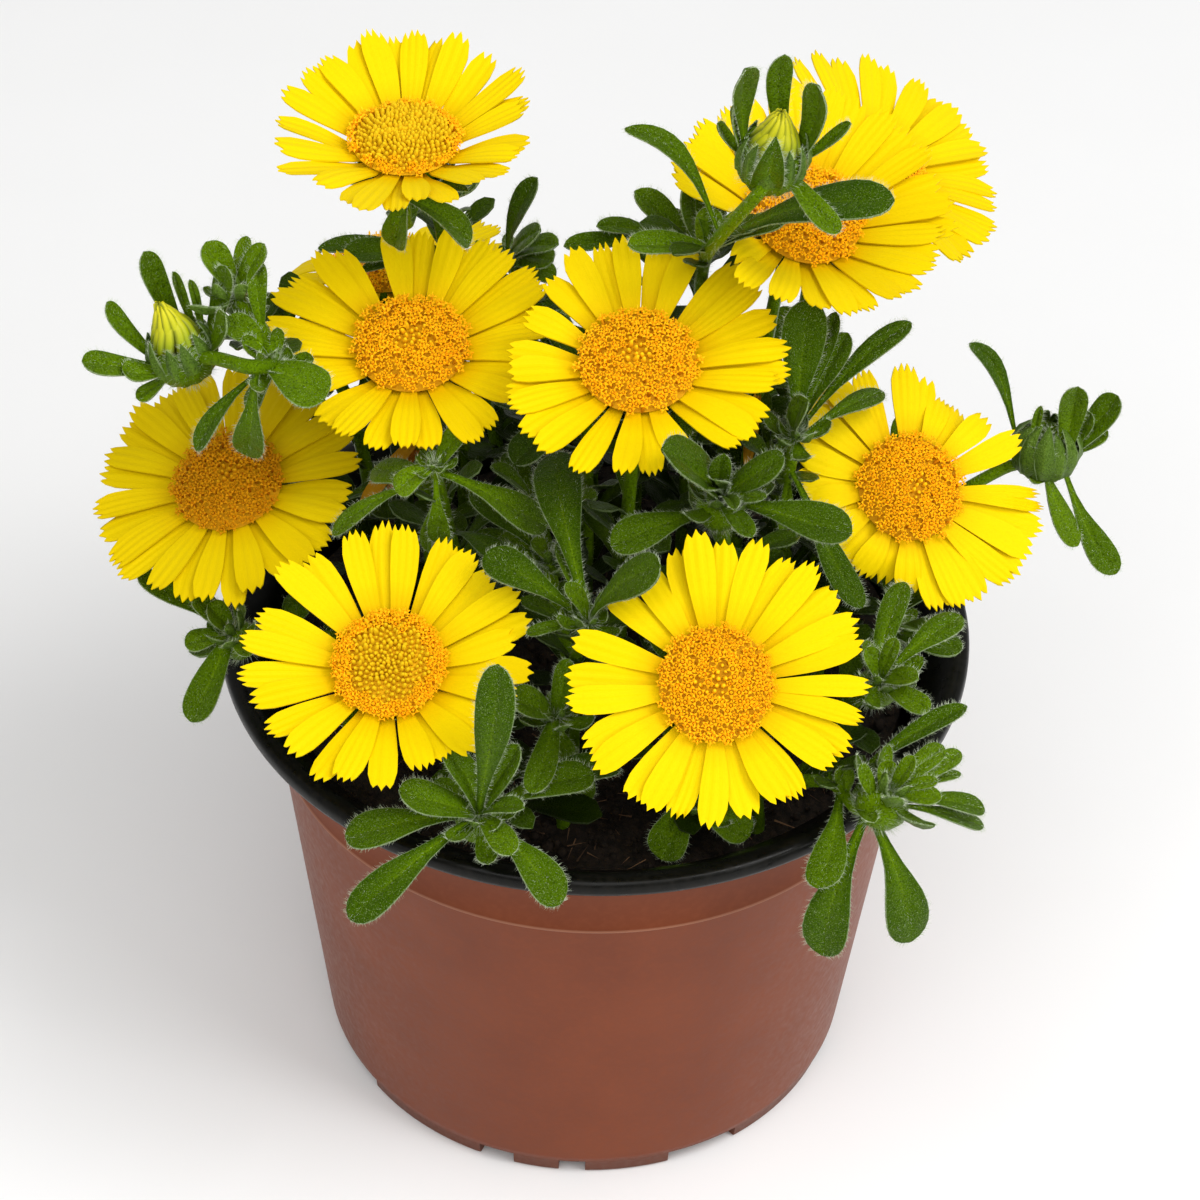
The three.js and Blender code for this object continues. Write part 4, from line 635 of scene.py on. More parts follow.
def add_leaf(shape, root, tip, half_width, face, outline, dice, bow=LEAF_BOW, columns=LEAF_COLUMNS,
             hairy=1.0, young=None, tender=0.0, deep=0.0, twist=0.3, bend=0.0):
    """A thick leaf with a grooved middle, fine hairs and a pale margin, partly painted sheen."""
    along = tip - root
    length = np.linalg.norm(along)
    side = unit(np.cross(face, along))
    up = unit(np.cross(along, side))
    share = np.array(outline[0])[:, None]
    across = columns[None]
    half = np.maximum(np.array(outline[1])[:, None] * half_width, NARROWEST)
    blade = np.clip(half / half_width * 1.4 - 0.5, 0, 1)
    rise = 4 * share * (1 - share)
    sickle = (bend + dice.uniform(*LEAF_SICKLE)) * length
    turn = dice.uniform(-twist, twist) * share
    fold = dice.uniform(*LEAF_FOLD)
    wave = dice.uniform(*LEAF_WAVE_START)
    middle = (root + along * share)[:, None] + up * (bow * length * rise)[..., None] \
        + side * (sickle * rise * (0.4 + share))[..., None]
    reach = across * half
    lift = fold * np.abs(reach) - GROOVE_DEPTH * blade * np.exp(-(across / GROOVE_WIDTH) ** 2) \
        + LEAF_WAVE * half * blade * np.sin(9 * share + wave + 2.2 * across) \
        - MARGIN_DROOP * np.maximum(np.abs(across) - MARGIN_START, 0) * half
    edge = np.cos(turn)[..., None] * side + np.sin(turn)[..., None] * up
    top = middle + reach[..., None] * edge + lift[..., None] * up
    depth = LEAF_DEPTH * (1 - LEAF_EDGE_THINNER * across ** 2) \
        * np.clip(half / FULL_DEPTH_HALF_WIDTH, 0.4, 1)
    keel = KEEL_DEPTH * np.exp(-(across / KEEL_WIDTH) ** 2) * (1 - share)
    under = top - (depth + keel)[..., None] * up
    tone = dice.random()
    if young is None:
        young = np.clip(1.15 + tender - length / OLDEST_LENGTH + dice.uniform(-0.15, 0.15), 0, 1)
    add_skin(shape, top, under, along=share, across=across, tone=tone, young=young, deep=deep)
    add_leaf_hairs(shape, top, side, up, unit(along), hairy * length / MM, dice, deep)


# How many hairs a millimetre of leaf or stem has
MARGIN_HAIRS = 4.5
FACE_HAIRS = 1.6
STEM_HAIRS = 5


def add_leaf_hairs(shape, top, side, up, onward, hairy, dice, deep):
    """Hairs along both margins, and fewer that lie on the face."""
    count = int(hairy * MARGIN_HAIRS)
    for column, way in ((0, -1), (-1, 1)):
        roots = part_way(top[:, column], dice.uniform(0.3, top.shape[0] - 1.001, count))
        ways = way * side * dice.uniform(0.5, 1, (count, 1)) + up * dice.uniform(-0.3, 0.6, (count, 1)) \
            + onward * dice.uniform(0, 0.8, (count, 1))
        add_hairs(shape, roots, ways, (0.4, 1.0), dice, deep=deep)
    count = int(hairy * FACE_HAIRS)
    rows = dice.integers(1, top.shape[0] - 1, count)
    lines = dice.integers(1, top.shape[1] - 2, count)
    part, share = dice.random((2, count, 1))
    roots = (top[rows, lines] * (1 - part) + top[rows, lines + 1] * part) * (1 - share) \
        + (top[rows + 1, lines] * (1 - part) + top[rows + 1, lines + 1] * part) * share
    ways = onward + up * dice.uniform(0.1, 0.7, (count, 1)) + side * dice.uniform(-0.6, 0.6, (count, 1))
    add_hairs(shape, roots, ways, (0.3, 0.65), dice, deep=deep)


STEM_SIDES = 8
STEM_TAPER = (1.1, 0.88)
STEM_YOUNG = (0.3, 1)


def add_stem(shape, path, dice, heart=1.0, deep=0.0):
    """A hairy stem, with the heart of a shoot at its tip unless that has no size."""
    count = len(path)
    young = np.append(np.repeat(np.linspace(*STEM_YOUNG, count), STEM_SIDES), STEM_YOUNG)
    add_tube(shape, path, STEM_RADIUS * np.linspace(*STEM_TAPER, count), STEM_SIDES, across=0.5,
             tone=dice.random(), young=young)
    hairs = int(lengths_along(path)[-1] / MM * STEM_HAIRS)
    place = dice.uniform(0, count - 1.001, hairs)
    low = place.astype(int)
    angle = dice.uniform(0, TURN, (hairs, 1))
    first, second = carried(path)
    out = np.cos(angle) * first[low] + np.sin(angle) * second[low]
    roots = part_way(path, place) + 0.85 * STEM_RADIUS * out
    tangent = unit(path[low + 1] - path[low])
    ways = out + tangent * dice.uniform(-0.1, 0.7, (hairs, 1))
    add_hairs(shape, roots, ways, (0.5, 1.1), dice)
    if heart:
        axis = unit(unit(path[-1] - path[-2]) + 0.8 * UP)
        add_heart(shape, path[-1], axis, heart, dice, deep)
        if heart > 1:
            add_cushion(shape, path[-1], axis, heart, dice)


HEART_LEAVES = 10
HEART_HAIRS = 150
HEART_HAIR_SPREAD = 2.4 * MM


def add_heart(shape, centre, axis, size, dice, deep=0.0):
    """The growing tip of a shoot: small young leaves that close over each other, and long hairs."""
    turn = dice.uniform(0, TURN)
    for i in range(HEART_LEAVES):
        share = i / (HEART_LEAVES - 1)
        out = spokes(axis, turn + GOLDEN_TURN * i)
        lean = 0.25 + 0.95 * share
        way = math.sin(lean) * out + math.cos(lean) * axis
        length = (2.6 + 3.6 * share) * size * MM * dice.uniform(0.85, 1.15)
        root = centre + (0.4 + 0.5 * share) * size * MM * out - 0.6 * share * MM * axis
        half = (0.75 + 0.6 * share) * size * MM
        add_leaf(shape, root, root + way * length, half, unit(axis - 0.9 * out), YOUNG_LEAF, dice,
                 bow=-0.12, columns=PLAIN_COLUMNS, hairy=0.4 + 0.8 * size, young=1 - 0.45 * share,
                 deep=deep)
    count = int(HEART_HAIRS * size)
    ways = unit(dice.normal(size=(count, 3)) + 0.8 * axis)
    roots = centre + ways * (HEART_HAIR_SPREAD * size) * dice.uniform(0.2, 0.7, (count, 1))
    add_hairs(shape, roots, ways, (1.25, 2.75), dice, wide=1.6)


# The cushion under a large heart, as (radius, height) in millimetres, and where its hairs grow
CUSHION_PROFILE = [(0, -4.4), (1.3, -4.2), (2.5, -3.3), (3.1, -1.9), (2.8, -0.5), (1.6, 0.3), (0, 0.5)]
CUSHION_LEVEL = -1.9 * MM
CUSHION_RADIUS = 2.75 * MM
CUSHION_HAIRS = 330


def add_cushion(shape, centre, axis, size, dice):
    """The swollen top of a leafy stem, where the leaves clasp it, under a dense coat of hairs."""
    add_turned(shape, np.array(CUSHION_PROFILE) * size * MM, centre, axis, 16, across=0.5, young=0.75,
               tone=0.4)
    ways = unit(dice.normal(size=(int(CUSHION_HAIRS * size ** 2), 3)))
    roots = centre + CUSHION_LEVEL * size * axis + CUSHION_RADIUS * size * ways
    add_hairs(shape, roots, ways + 0.5 * axis, (0.8, 2.0), dice, wide=1.3)


# A leaf that is seen nearly edge on isn't widened any further
STEEPEST_SLANT = 0.62


def real_width(pixels, place):
    """The real width of what looks so many pixels wide at a place."""
    return pixels * ((place - EYE) @ FORWARD) / VIEW_FOCAL_PIXELS


def on_cup_side(root, bud):
    """A leaf whose root is seen at a bud grows from the side of the bud's cup."""
    if not bud:
        return None
    middle = seen(*bud["centre"], bud["high"])
    offset = root - middle
    if np.linalg.norm(offset) > 2 * BUD_RADIUS:
        return None
    axis = unit(seen(*bud["apex"], bud["apex_high"]) - middle)
    level = np.clip(offset @ axis, -0.5 * BUD_RADIUS, 0)
    return middle + unit(offset - axis * (offset @ axis)) * 0.78 * BUD_RADIUS + axis * level


def add_seen_leaf(shape, row, paths, bud, dice, tender=0.0, deep=0.0):
    """A leaf as the photograph shows it, grown from a bud's cup or the nearest point of its stems."""
    *ends, wide_pixels, bend = (*row, 0)[:8]
    root, tip = seen(*ends[:3]), seen(*ends[3:])
    along = tip - root
    side = unit(np.cross(along, unit(SEEN_FACE)))
    along_seen = unit([along @ RIGHT, along @ VIEW_UP])
    slant = abs(along_seen[0] * (side @ VIEW_UP) - along_seen[1] * (side @ RIGHT))
    wide = real_width(wide_pixels, tip) / max(slant, STEEPEST_SLANT)
    outline = LONG_LEAF if np.linalg.norm(along) > LONG_LEAF_LENGTH else SHORT_LEAF
    start, bow = on_cup_side(root, bud), -0.06
    if start is None:
        start, bow = nearest(np.vstack(paths), root), LEAF_BOW
    add_leaf(shape, start, tip, wide / 2, unit(SEEN_FACE), outline, dice, bow=bow, tender=tender,
             deep=deep, twist=0.15, bend=bend)


# Inner leaves: small ones up every stem, which fill the plant below its heads
INNER_BOTTOM = SOIL_TOP + 4 * MM
INNER_STEP = 2.6 * MM
INNER_LENGTH = (12 * MM, 19 * MM)
INNER_HALF_WIDTH = (2.3 * MM, 3.4 * MM)


def add_inner_leaves(shape, path, top_gap, dice):
    """Leaves up a stem to a gap under its tip, shorter and paler as they go, with painted shade low down."""
    ways = lengths_along(path)
    first = ways[np.argmax(path[:, 2] > INNER_BOTTOM)]
    last = ways[-1] - top_gap
    turn = dice.uniform(0, TURN)
    for i in range(int((last - first) / INNER_STEP)):
        way = first + INNER_STEP * (i + dice.uniform(-0.2, 0.2))
        share = (way - first) / (last - first)
        root = path[np.argmin(np.abs(ways - way))]
        angle = turn + GOLDEN_TURN * i
        flat = np.array([math.cos(angle), math.sin(angle), 0])
        climb = math.radians(dice.uniform(8, 55))
        length = dice.uniform(*INNER_LENGTH) * (1 - 0.45 * share)
        tip = root + length * (math.cos(climb) * flat + math.sin(climb) * UP)
        half = dice.uniform(*INNER_HALF_WIDTH) * (1 - 0.35 * share)
        if np.linalg.norm(tip[:2]) < 0.93 * RIM_RADIUS or root[2] > POT_HEIGHT:
            add_leaf(shape, root, tip, half, unit(UP - 0.3 * flat), INNER_LEAF, dice, columns=PLAIN_COLUMNS,
                     hairy=0.12, young=0.3 * share, deep=1 - 0.6 * share)


# Heads
class Head:
    """The frame of a head: its middle, its axis, the direction to the picture's right, and the one up it."""

    def __init__(self, row):
        lean, faces = math.radians(row["lean"]), row["faces"]
        self.axis = math.sin(lean) * compass(faces) + math.cos(lean) * UP
        self.right = unit(RIGHT - self.axis * self.axis[0])
        self.up = np.cross(self.axis, self.right)
        self.middle = seen(*row["centre"], row["high"])
        self.disc = row["disc"] * MM
        self.rise = math.tan(math.radians(row["cup"]))
        self.row = row

    def at(self, angle, radius, height):
        angle, radius, height = np.broadcast_arrays(angle, radius, height)
        return self.middle + (radius * np.cos(angle))[..., None] * self.right \
            + (radius * np.sin(angle))[..., None] * self.up + height[..., None] * self.axis


# Levels along a head's axis
RAY_LEVEL = -1.2 * MM
DISC_RIM = -0.7 * MM
DISC_DOME = 2.2 * MM
CUP_TOP = -4.3 * MM
CUP_BOTTOM = -8.9 * MM

RAY_ROOT = 0.74
RAY_WIDEST = 0.66
RAY_ROWS = 11
RAY_SHARES = [-0.3, 0, 0.15, 0.3, 0.48, 0.66, 0.82, 0.92, 1]
RAY_WIDTHS = [0.34, 0.56, 0.7, 0.83, 0.96, 1, 0.98, 0.92, 0.8]
TOOTH_DEPTH = 1.25 * MM

# How much one ray differs from the next: in width, in its arch, curl and cupping in millimetres, in
# its tilt across and in its sideways bend
RAY_WIDENING = (0.93, 1.08)
RAY_ARCH = (0.1, 0.6)
RAY_CURL = (-0.8, 0.5)
RAY_CUPPING = (-0.35, 0.25)
RAY_TILT = (-0.18, 0.18)
RAY_BEND = (-0.05, 0.05)
RIB_DEPTH = 0.2 * MM


def add_ray(shape, head, row, layer, room, dice):
    """One ray petal: ribs that end in teeth, on a strap that is widest two thirds of the way out."""
    degrees, reach, drop = (*row, 0)[:3]
    reach, drop = reach * MM, drop * MM
    length = reach - head.disc
    teeth = int(dice.choice([3, 3, 3, 4, 4]))
    columns = np.linspace(-1, 1, 4 * teeth + 1)
    phase = np.arange(4 * teeth + 1) % 4
    notch = TOOTH_DEPTH / length * dice.uniform(0.6, 1.15, 4 * teeth + 1)
    end = 1 - 0.09 * columns ** 2 - np.where(phase == 0, notch, np.where(phase == 2, 0, 0.5 * notch))
    end[[0, -1]] -= 0.07
    root_radius = RAY_ROOT * head.disc
    wide_radius = head.disc + RAY_WIDEST * length
    half = min(RAY_HALF_WIDTH * dice.uniform(*RAY_WIDENING), 0.94 * wide_radius * math.sin(room / 2))
    steps = np.linspace(0, 1, RAY_ROWS)[:, None] ** 0.92
    across = columns[None]
    radius = root_radius + steps * (head.disc + end[None] * length - root_radius)
    share = (radius - head.disc) / length
    reach_across = across * np.interp(share, RAY_SHARES, RAY_WIDTHS) * half
    out = np.clip(share, 0, 1)
    ribs = 0.5 + 0.5 * np.cos(math.pi * teeth * (across + 1))
    height = RAY_LEVEL - RAY_LAYER * layer - drop * out ** 2 \
        + head.rise * np.where(radius > head.disc, radius - head.disc, 0.5 * (radius - head.disc)) \
        + dice.uniform(*RAY_ARCH) * MM * np.sin(math.pi * out) \
        + dice.uniform(*RAY_CURL) * MM * out ** 3 \
        + dice.uniform(*RAY_TILT) * reach_across * out \
        + dice.uniform(*RAY_CUPPING) * MM * across ** 2 * np.clip(share + 0.3, 0, 1) \
        - RIB_DEPTH * ribs * np.clip(share + 0.25, 0, 1) * (np.abs(across) < 0.99)
    bend = dice.uniform(*RAY_BEND) * out ** 2
    angle = math.radians(degrees) + np.arctan2(reach_across, radius) + bend
    top = head.at(angle, np.hypot(radius, reach_across), height)
    # An old head's rays carry its darker, older colour and painted shade
    add_skin(shape, top, top - RAY_DEPTH * head.axis, along=share, across=across, tone=dice.random(),
             deep=head.row.get("age_and_painted_shade", 0))


def rays_piece(head, dice):
    shape = Shape()
    rays = head.row["rays"]
    for layer in (1, 0):
        rows = rays[layer::2]
        gaps = [math.radians((rows[(i + 1) % len(rows)][0] - row[0]) % 360) for i, row in enumerate(rows)]
        for i, row in enumerate(rows):
            add_ray(shape, head, row, layer, min(gaps[i], gaps[i - 1]), dice)
    return shape


# One open floret, in its own size: five pointed lobes that curl over, on a short tube with its column
LOBES = 5
LOBE_ROOT, LOBE_RIDGE, LOBE_TIP = (0.2, 0.6), (0.52, 1.06), (0.92, 0.84)
LOBE_UNDER = (0.5, 0.84)
LOBE_HALF_WIDTH = 0.3
TUBE_RADIUS = 0.22
COLUMN_RADIUS = 0.15
COLUMN_LEVELS = (0.5, 1.3, 1.62)
LOBE_FACES = np.array([[0, 3, 2], [1, 3, 0], [2, 3, 1], [0, 2, 4], [2, 1, 4], [1, 0, 4]])
COLUMN_FACES = np.array([[0, 2, 1], [0, 3, 2], [0, 4, 3], [0, 1, 4],
                         [5, 1, 2], [5, 2, 3], [5, 3, 4], [5, 4, 1]])


def open_floret():
    floret = Shape()
    for turn in np.arange(LOBES) * TURN / LOBES:
        out = np.array([math.cos(turn), math.sin(turn), 0])
        side = np.array([-math.sin(turn), math.cos(turn), 0])
        root, ridge, tip, under = (r * out + z * UP for r, z in (LOBE_ROOT, LOBE_RIDGE, LOBE_TIP, LOBE_UNDER))
        wide = LOBE_HALF_WIDTH * side
        floret.add([0.55 * root + 0.45 * ridge - wide, 0.55 * root + 0.45 * ridge + wide, tip, ridge, under],
                   [LOBE_FACES])
    add_tube(floret, np.array([[0, 0, -0.4], [0, 0, 0.75]]), TUBE_RADIUS, sides=LOBES)
    low, wide, high = COLUMN_LEVELS
    corners = COLUMN_RADIUS * np.array([[1, 0, 0], [0, 1, 0], [-1, 0, 0], [0, -1, 0]]) + wide * UP
    floret.add([low * UP, *corners, high * UP], [COLUMN_FACES])
    return floret


def closed_floret():
    """One floret still in bud: a small blunt knob."""
    floret = Shape()
    profile = [(0, -0.3), (0.42, -0.2), (0.46, 0.4), (0.27, 0.8), (0, 0.9)]
    add_turned(floret, profile, np.zeros(3), UP, 5)
    return floret


FLORETS = 175
CLOSED_WIDTH = 0.8
FLORET_SIZE = 1.0 * MM
DOME_SHARES = np.linspace(0, 1, 9)


def dome(share, bare):
    """The height of the disc's top. A disc that is mostly closed dips in its middle."""
    return DISC_RIM + DISC_DOME * (1 - share ** 2.4) - 0.8 * MM * bare * np.exp(-(share / 0.35) ** 2)


def spun(turns, angles):
    """Turns that also go round their own long axis."""
    cosine, sine = np.cos(angles)[:, None], np.sin(angles)[:, None]
    first, second, third = np.moveaxis(turns, 2, 0)
    return np.stack([first * cosine + second * sine, second * cosine - first * sine, third], -1)


def disc_piece(head, dice):
    shape = Shape()
    bare, age_and_painted_shade = head.row["closed"], head.row.get("age_and_painted_shade", 0)
    under = DISC_RIM - 0.6 * MM
    profile = [(0, under), (0.8 * head.disc, under)] \
        + [(0.96 * head.disc * s, dome(s, bare) - 0.3 * MM) for s in DOME_SHARES[::-1]]
    add_turned(shape, profile, head.middle, head.axis, 36, along=0.5 * bare, tone=0.5, young=0.9 * bare)
    count = int(FLORETS * (1 + 1.5 * bare ** 2))
    index = np.arange(count)
    share = ((index + 0.5) / count) ** (0.5 + 0.1 * bare)
    angle = index * GOLDEN_TURN + dice.uniform(*ANY_ANGLE)
    places = head.at(angle, 0.97 * head.disc * share, dome(share, bare) - 0.05 * MM)
    outward = head.at(angle, 1, 0) - head.middle
    ways = head.axis + outward * (0.5 * share ** 2)[:, None] + dice.normal(0, 0.2, (count, 3))
    closed = share + dice.normal(0, 0.06, count) < bare
    sizes = FLORET_SIZE * dice.uniform(0.75, 1.15, count)
    tones = dice.random(count)
    young = np.where(closed, min(1.3 * bare, 1), 0.0)
    spin = dice.uniform(*ANY_ANGLE, count)
    for kind, floret in ((False, open_floret()), (True, closed_floret())):
        chosen = closed == kind
        points = np.concatenate(floret.points)
        long = sizes[chosen] * dice.uniform(0.8, 1.35, chosen.sum())
        turns = turns_to(ways[chosen], sizes[chosen] * (CLOSED_WIDTH if kind else 1), long)
        add_copies(shape, points, [np.array([face]) for face in floret.faces], places[chosen],
                   spun(turns, spin[chosen]), tone=tones[chosen], young=young[chosen],
                   deep=np.full(chosen.sum(), age_and_painted_shade),
                   own={"along": np.clip(points[:, 2] + 0.4 * kind, 0, 1.6) / 1.6})
    return shape


BRACTS = 4
PHYLLARIES = 11
CUP_WIDTH = 0.68


def add_bracts(shape, head, dice):
    """Leafy bracts that reach out from under a head."""
    for i in range(BRACTS):
        angle = TURN * (i + draws.between(0.3, 0.7)) / BRACTS
        root = head.at(angle, 0.4 * head.disc, CUP_TOP - 1.8 * MM)
        reach = draws.between(2.5, 5) * MM
        level = CUP_TOP - draws.between(0.8, 1.6) * MM + 0.8 * reach * head.rise
        tip = head.at(angle, head.disc + reach, level)
        add_leaf(shape, root, tip, draws.between(1.7, 2.1) * MM, head.axis, BRACT_LEAF, dice, bow=0.02,
                 hairy=0.8, young=0.35)


def add_phyllaries(shape, head, cup, dice):
    """Two layers of small bracts that clasp a head's cup."""
    for layer in (0, 1):
        for i in range(PHYLLARIES):
            angle = TURN * (i + 0.5 * layer) / PHYLLARIES + dice.uniform(-0.1, 0.1)
            root = head.at(angle, 0.5 * cup, CUP_BOTTOM + 1.6 * MM)
            tip = head.at(angle, head.disc * dice.uniform(0.86, 0.98),
                          RAY_LEVEL - (2.0 + 0.5 * layer) * MM)
            face = 0.4 * head.axis - 0.9 * (head.at(angle, 1, 0) - head.middle)
            add_leaf(shape, root, tip, 1.15 * MM, face, BRACT_LEAF, dice, bow=-0.12,
                     columns=PLAIN_COLUMNS, hairy=0.7, young=0.45)


def green_under_head(head, dice, withered):
    """The green under a head: its cup, its bracts, its stem and the leaves on it."""
    shape = Shape()
    cup = CUP_WIDTH * head.disc
    profile = [(0, CUP_BOTTOM), (STEM_RADIUS, CUP_BOTTOM), (0.45 * cup, CUP_BOTTOM + 0.9 * MM),
               (0.8 * cup, CUP_TOP - 2.7 * MM), (cup, CUP_TOP - 1.2 * MM), (1.02 * cup, CUP_TOP),
               (0.95 * cup, RAY_LEVEL - 1.2 * MM), (0, RAY_LEVEL - 1.2 * MM)]
    add_turned(shape, profile, head.middle, head.axis, 28, across=0.5, young=0.4, tone=0.3)
    path = smooth_curve([*head.row["foot"], *head.row.get("stem", []),
                         head.at(0, 0, CUP_BOTTOM - 8 * MM), head.at(0, 0, CUP_BOTTOM + 1 * MM)])
    add_stem(shape, path, dice, heart=0)
    add_bracts(shape, head, dice)
    add_phyllaries(shape, head, cup, dice)
    for row in head.row.get("leaves", []):
        add_seen_leaf(shape, row, [path], None, dice)
    for row in head.row.get("withered", []):
        add_withered_petal(withered, row, path)
    add_inner_leaves(shape, path, 26 * MM, dice)
    return shape


WITHERED_SHARES = [0, 0.3, 0.7, 0.9, 1]
WITHERED_WIDTHS = [0.5, 0.8, 1, 0.85, 0.5]


def add_withered_petal(shape, row, path):
    """An old petal that hangs from a stem, curled along its length."""
    *ends, wide_pixels, yellow = row
    root, tip = seen(*ends[:3]), seen(*ends[3:])
    start = nearest(path, root)
    along = tip - start
    side = unit(np.cross(SEEN_FACE, along))
    up = unit(np.cross(along, side))
    share = np.linspace(0, 1, 9)[:, None]
    across = np.linspace(-1, 1, 7)[None]
    half = 0.5 * real_width(wide_pixels, tip) * np.interp(share, WITHERED_SHARES, WITHERED_WIDTHS)
    rise = 0.25 * np.linalg.norm(along) * share * (1 - share) + 0.5 * half * np.abs(across) ** 3 \
        + 0.1 * MM * np.cos(7 * across)
    top = start + along * share[..., None] + (half * across)[..., None] * side + rise[..., None] * up
    add_skin(shape, top, top - RAY_DEPTH * up, along=share, across=across, tone=yellow)


# Buds

# A bud's cup, as (radius, height) in bud radii
BUD_PROFILE = [(0, -0.9), (0.5, -0.86), (0.86, -0.64), (1.06, -0.26), (1.12, 0.08), (1.09, 0.42),
               (0.99, 0.76), (0.86, 0.74), (0.7, 0.55), (0, 0.4)]
BUD_FOLDS = 11


def bud_frame(bud):
    """A bud's middle, its axis and its length."""
    middle = seen(*bud["centre"], bud["high"])
    offset = seen(*bud["apex"], bud["apex_high"]) - middle
    return middle, unit(offset), np.linalg.norm(offset)


def add_bud_cup(shape, bud, dice):
    """A round green cup of overlapping bracts under long pale hairs."""
    middle, axis, _ = bud_frame(bud)
    wave = 0.045 * np.cos(BUD_FOLDS * np.linspace(0, TURN, 36, endpoint=False))
    add_turned(shape, np.array(BUD_PROFILE) * BUD_RADIUS, middle, axis, 36, wave, across=0.5, young=0.3,
               tone=0.5)
    for i in range(BUD_FOLDS):
        out = spokes(axis, TURN * i / BUD_FOLDS)
        if bud["rays"]:
            root, tip = out - 0.1 * axis, 0.92 * out + dice.uniform(0.85, 1.35) * axis
            wide, bow, hairy, young = 0.27, -0.09, 1.6, dice.uniform(0.1, 0.5)
        else:
            root, tip = 0.96 * out - 0.45 * axis, 0.45 * out + dice.uniform(1.1, 1.6) * axis
            wide, bow, hairy, young = 0.46, -0.22, 0.6, dice.uniform(0.4, 0.8)
        add_leaf(shape, middle + BUD_RADIUS * root, middle + BUD_RADIUS * tip, wide * BUD_RADIUS,
                 0.1 * axis - out, BUD_BRACT, dice, bow=bow, columns=PLAIN_COLUMNS, hairy=hairy,
                 young=young)
    if "bract" in bud:
        out = compass(bud["bract"])
        out = unit(out - axis * (out @ axis))
        root, tip = out - 0.1 * axis, 1.3 * out + 2.15 * axis
        add_leaf(shape, middle + BUD_RADIUS * root, middle + BUD_RADIUS * tip, 0.52 * BUD_RADIUS,
                 out - 0.3 * axis, BUD_BRACT, dice, bow=0.08, hairy=2, young=0.1, twist=0)
    if not bud["rays"]:
        add_heart(shape, middle + 0.35 * BUD_RADIUS * axis, axis, 0.9, dice)
    ways = unit(dice.normal(size=(500 if bud["rays"] else 160, 3)))
    ways = unit(ways - axis * np.clip(ways @ axis, 0.35, 1)[:, None] * 0.9)
    add_hairs(shape, middle + ways * BUD_RADIUS * 1.05, ways + 0.5 * axis, (0.6, 1.6), dice, wide=1.4)


# Closed rays in layers of (how many, share of the length, share of the radius), and their form as
# shares of the way up and of the radius or the half width there
BUD_LAYERS = [(13, 0.8, 1), (11, 0.93, 0.8), (7, 1.0, 0.45)]
BUD_RAY_RADII = ([0, 0.3, 0.65, 0.88, 1], [0.76, 0.78, 0.6, 0.36, 0.2])
BUD_RAY_WIDTHS = ([0, 0.5, 0.85, 0.96, 1], [0.9, 1, 0.8, 0.5, 0.2])
BUD_RAY_HALF_WIDTH = 0.82 * MM
BUD_RAY_DEPTH = 0.35 * MM
BUD_RAY_CURVE = 0.38 * MM
BUD_RAY_TURN = 0.75


def bud_rays_piece(bud, dice):
    """Closed rays: narrow straps that lean together and turn a little round the bud's axis."""
    shape = Shape()
    middle, axis, length = bud_frame(bud)
    base = 0.55 * BUD_RADIUS - 0.9 * MM
    steps = np.linspace(0, 1, 11)[:, None]
    across = np.linspace(1, -1, 5)[None]
    for layer, (count, reach, tight) in enumerate(BUD_LAYERS):
        for i in range(count):
            start = TURN * (i + 0.5 * layer) / count
            spin = start + BUD_RAY_TURN * steps + dice.uniform(-0.08, 0.08)
            radius = BUD_RADIUS * tight * np.interp(steps, *BUD_RAY_RADII) \
                + BUD_RAY_CURVE * (1 - across ** 2)
            high = base + steps * (length * reach * dice.uniform(0.94, 1) - base)
            out = spokes(axis, spin)
            half = BUD_RAY_HALF_WIDTH * tight ** 0.5 * np.interp(steps, *BUD_RAY_WIDTHS)
            top = middle + radius[..., None] * out + high[..., None] * axis \
                + (half * across)[..., None] * np.cross(axis, out)
            add_skin(shape, top, top - BUD_RAY_DEPTH * out, along=steps, across=across,
                     tone=dice.random(), young=1 - 0.5 * layer)
    return shape


def shoot_piece(shoot, dice):
    shape = Shape()
    bud = shoot.get("bud")
    paths = []
    for i, points in enumerate(shoot["stems"]):
        if bud and bud["stem"] == i:
            middle, axis, _ = bud_frame(bud)
            points = [*points, middle - 0.4 * BUD_RADIUS * axis]
        paths.append(smooth_curve(points))
    for i, path in enumerate(paths):
        heart = 0 if bud and bud["stem"] == i else shoot.get("heart", 1)
        # A shoot's shade is painted shade on its hearts, its leaves and their hairs
        add_stem(shape, path, dice, heart=heart, deep=shoot.get("shade", 0))
    for row in shoot["leaves"]:
        add_seen_leaf(shape, row, paths, bud, dice, shoot.get("tender", 0), shoot.get("shade", 0))
    if bud:
        add_bud_cup(shape, bud, dice)
    add_inner_leaves(shape, paths[0], shoot.get("bare", 6) * MM, dice)
    return shape


def filler_piece(filler, dice):
    """A whorl of leaves on a stem that leans outward."""
    degrees, distance, high, count = filler
    out = compass(degrees)
    start = out * min(distance * 0.72, 40)
    path = smooth_curve([*foot(start[0], start[1]), at(*(out[:2] * distance), high)])
    shape = Shape()
    add_stem(shape, path, dice)
    turn = draws.between(0, TURN)
    lengths = lengths_along(path)
    for i in range(count):
        angle = turn + GOLDEN_TURN * i
        share = i / count
        level = unit(np.array([math.cos(angle), math.sin(angle), 0]) + 0.5 * out)
        climb = math.radians(52 - 46 * share + draws.between(-6, 6))
        length = draws.between(17, 22) * (0.6 + 0.4 * share) * MM
        root = path[np.argmin(np.abs(lengths[-1] - lengths - 1.6 * MM * i))]
        tip = root + length * (math.cos(climb) * level + math.sin(climb) * UP)
        half = draws.between(2.5, 3.2) * (0.7 + 0.3 * share) * MM
        add_leaf(shape, root, tip, half, unit(UP - 0.3 * level), LONG_LEAF, dice)
    add_inner_leaves(shape, path, 10 * MM, dice)
    return shape


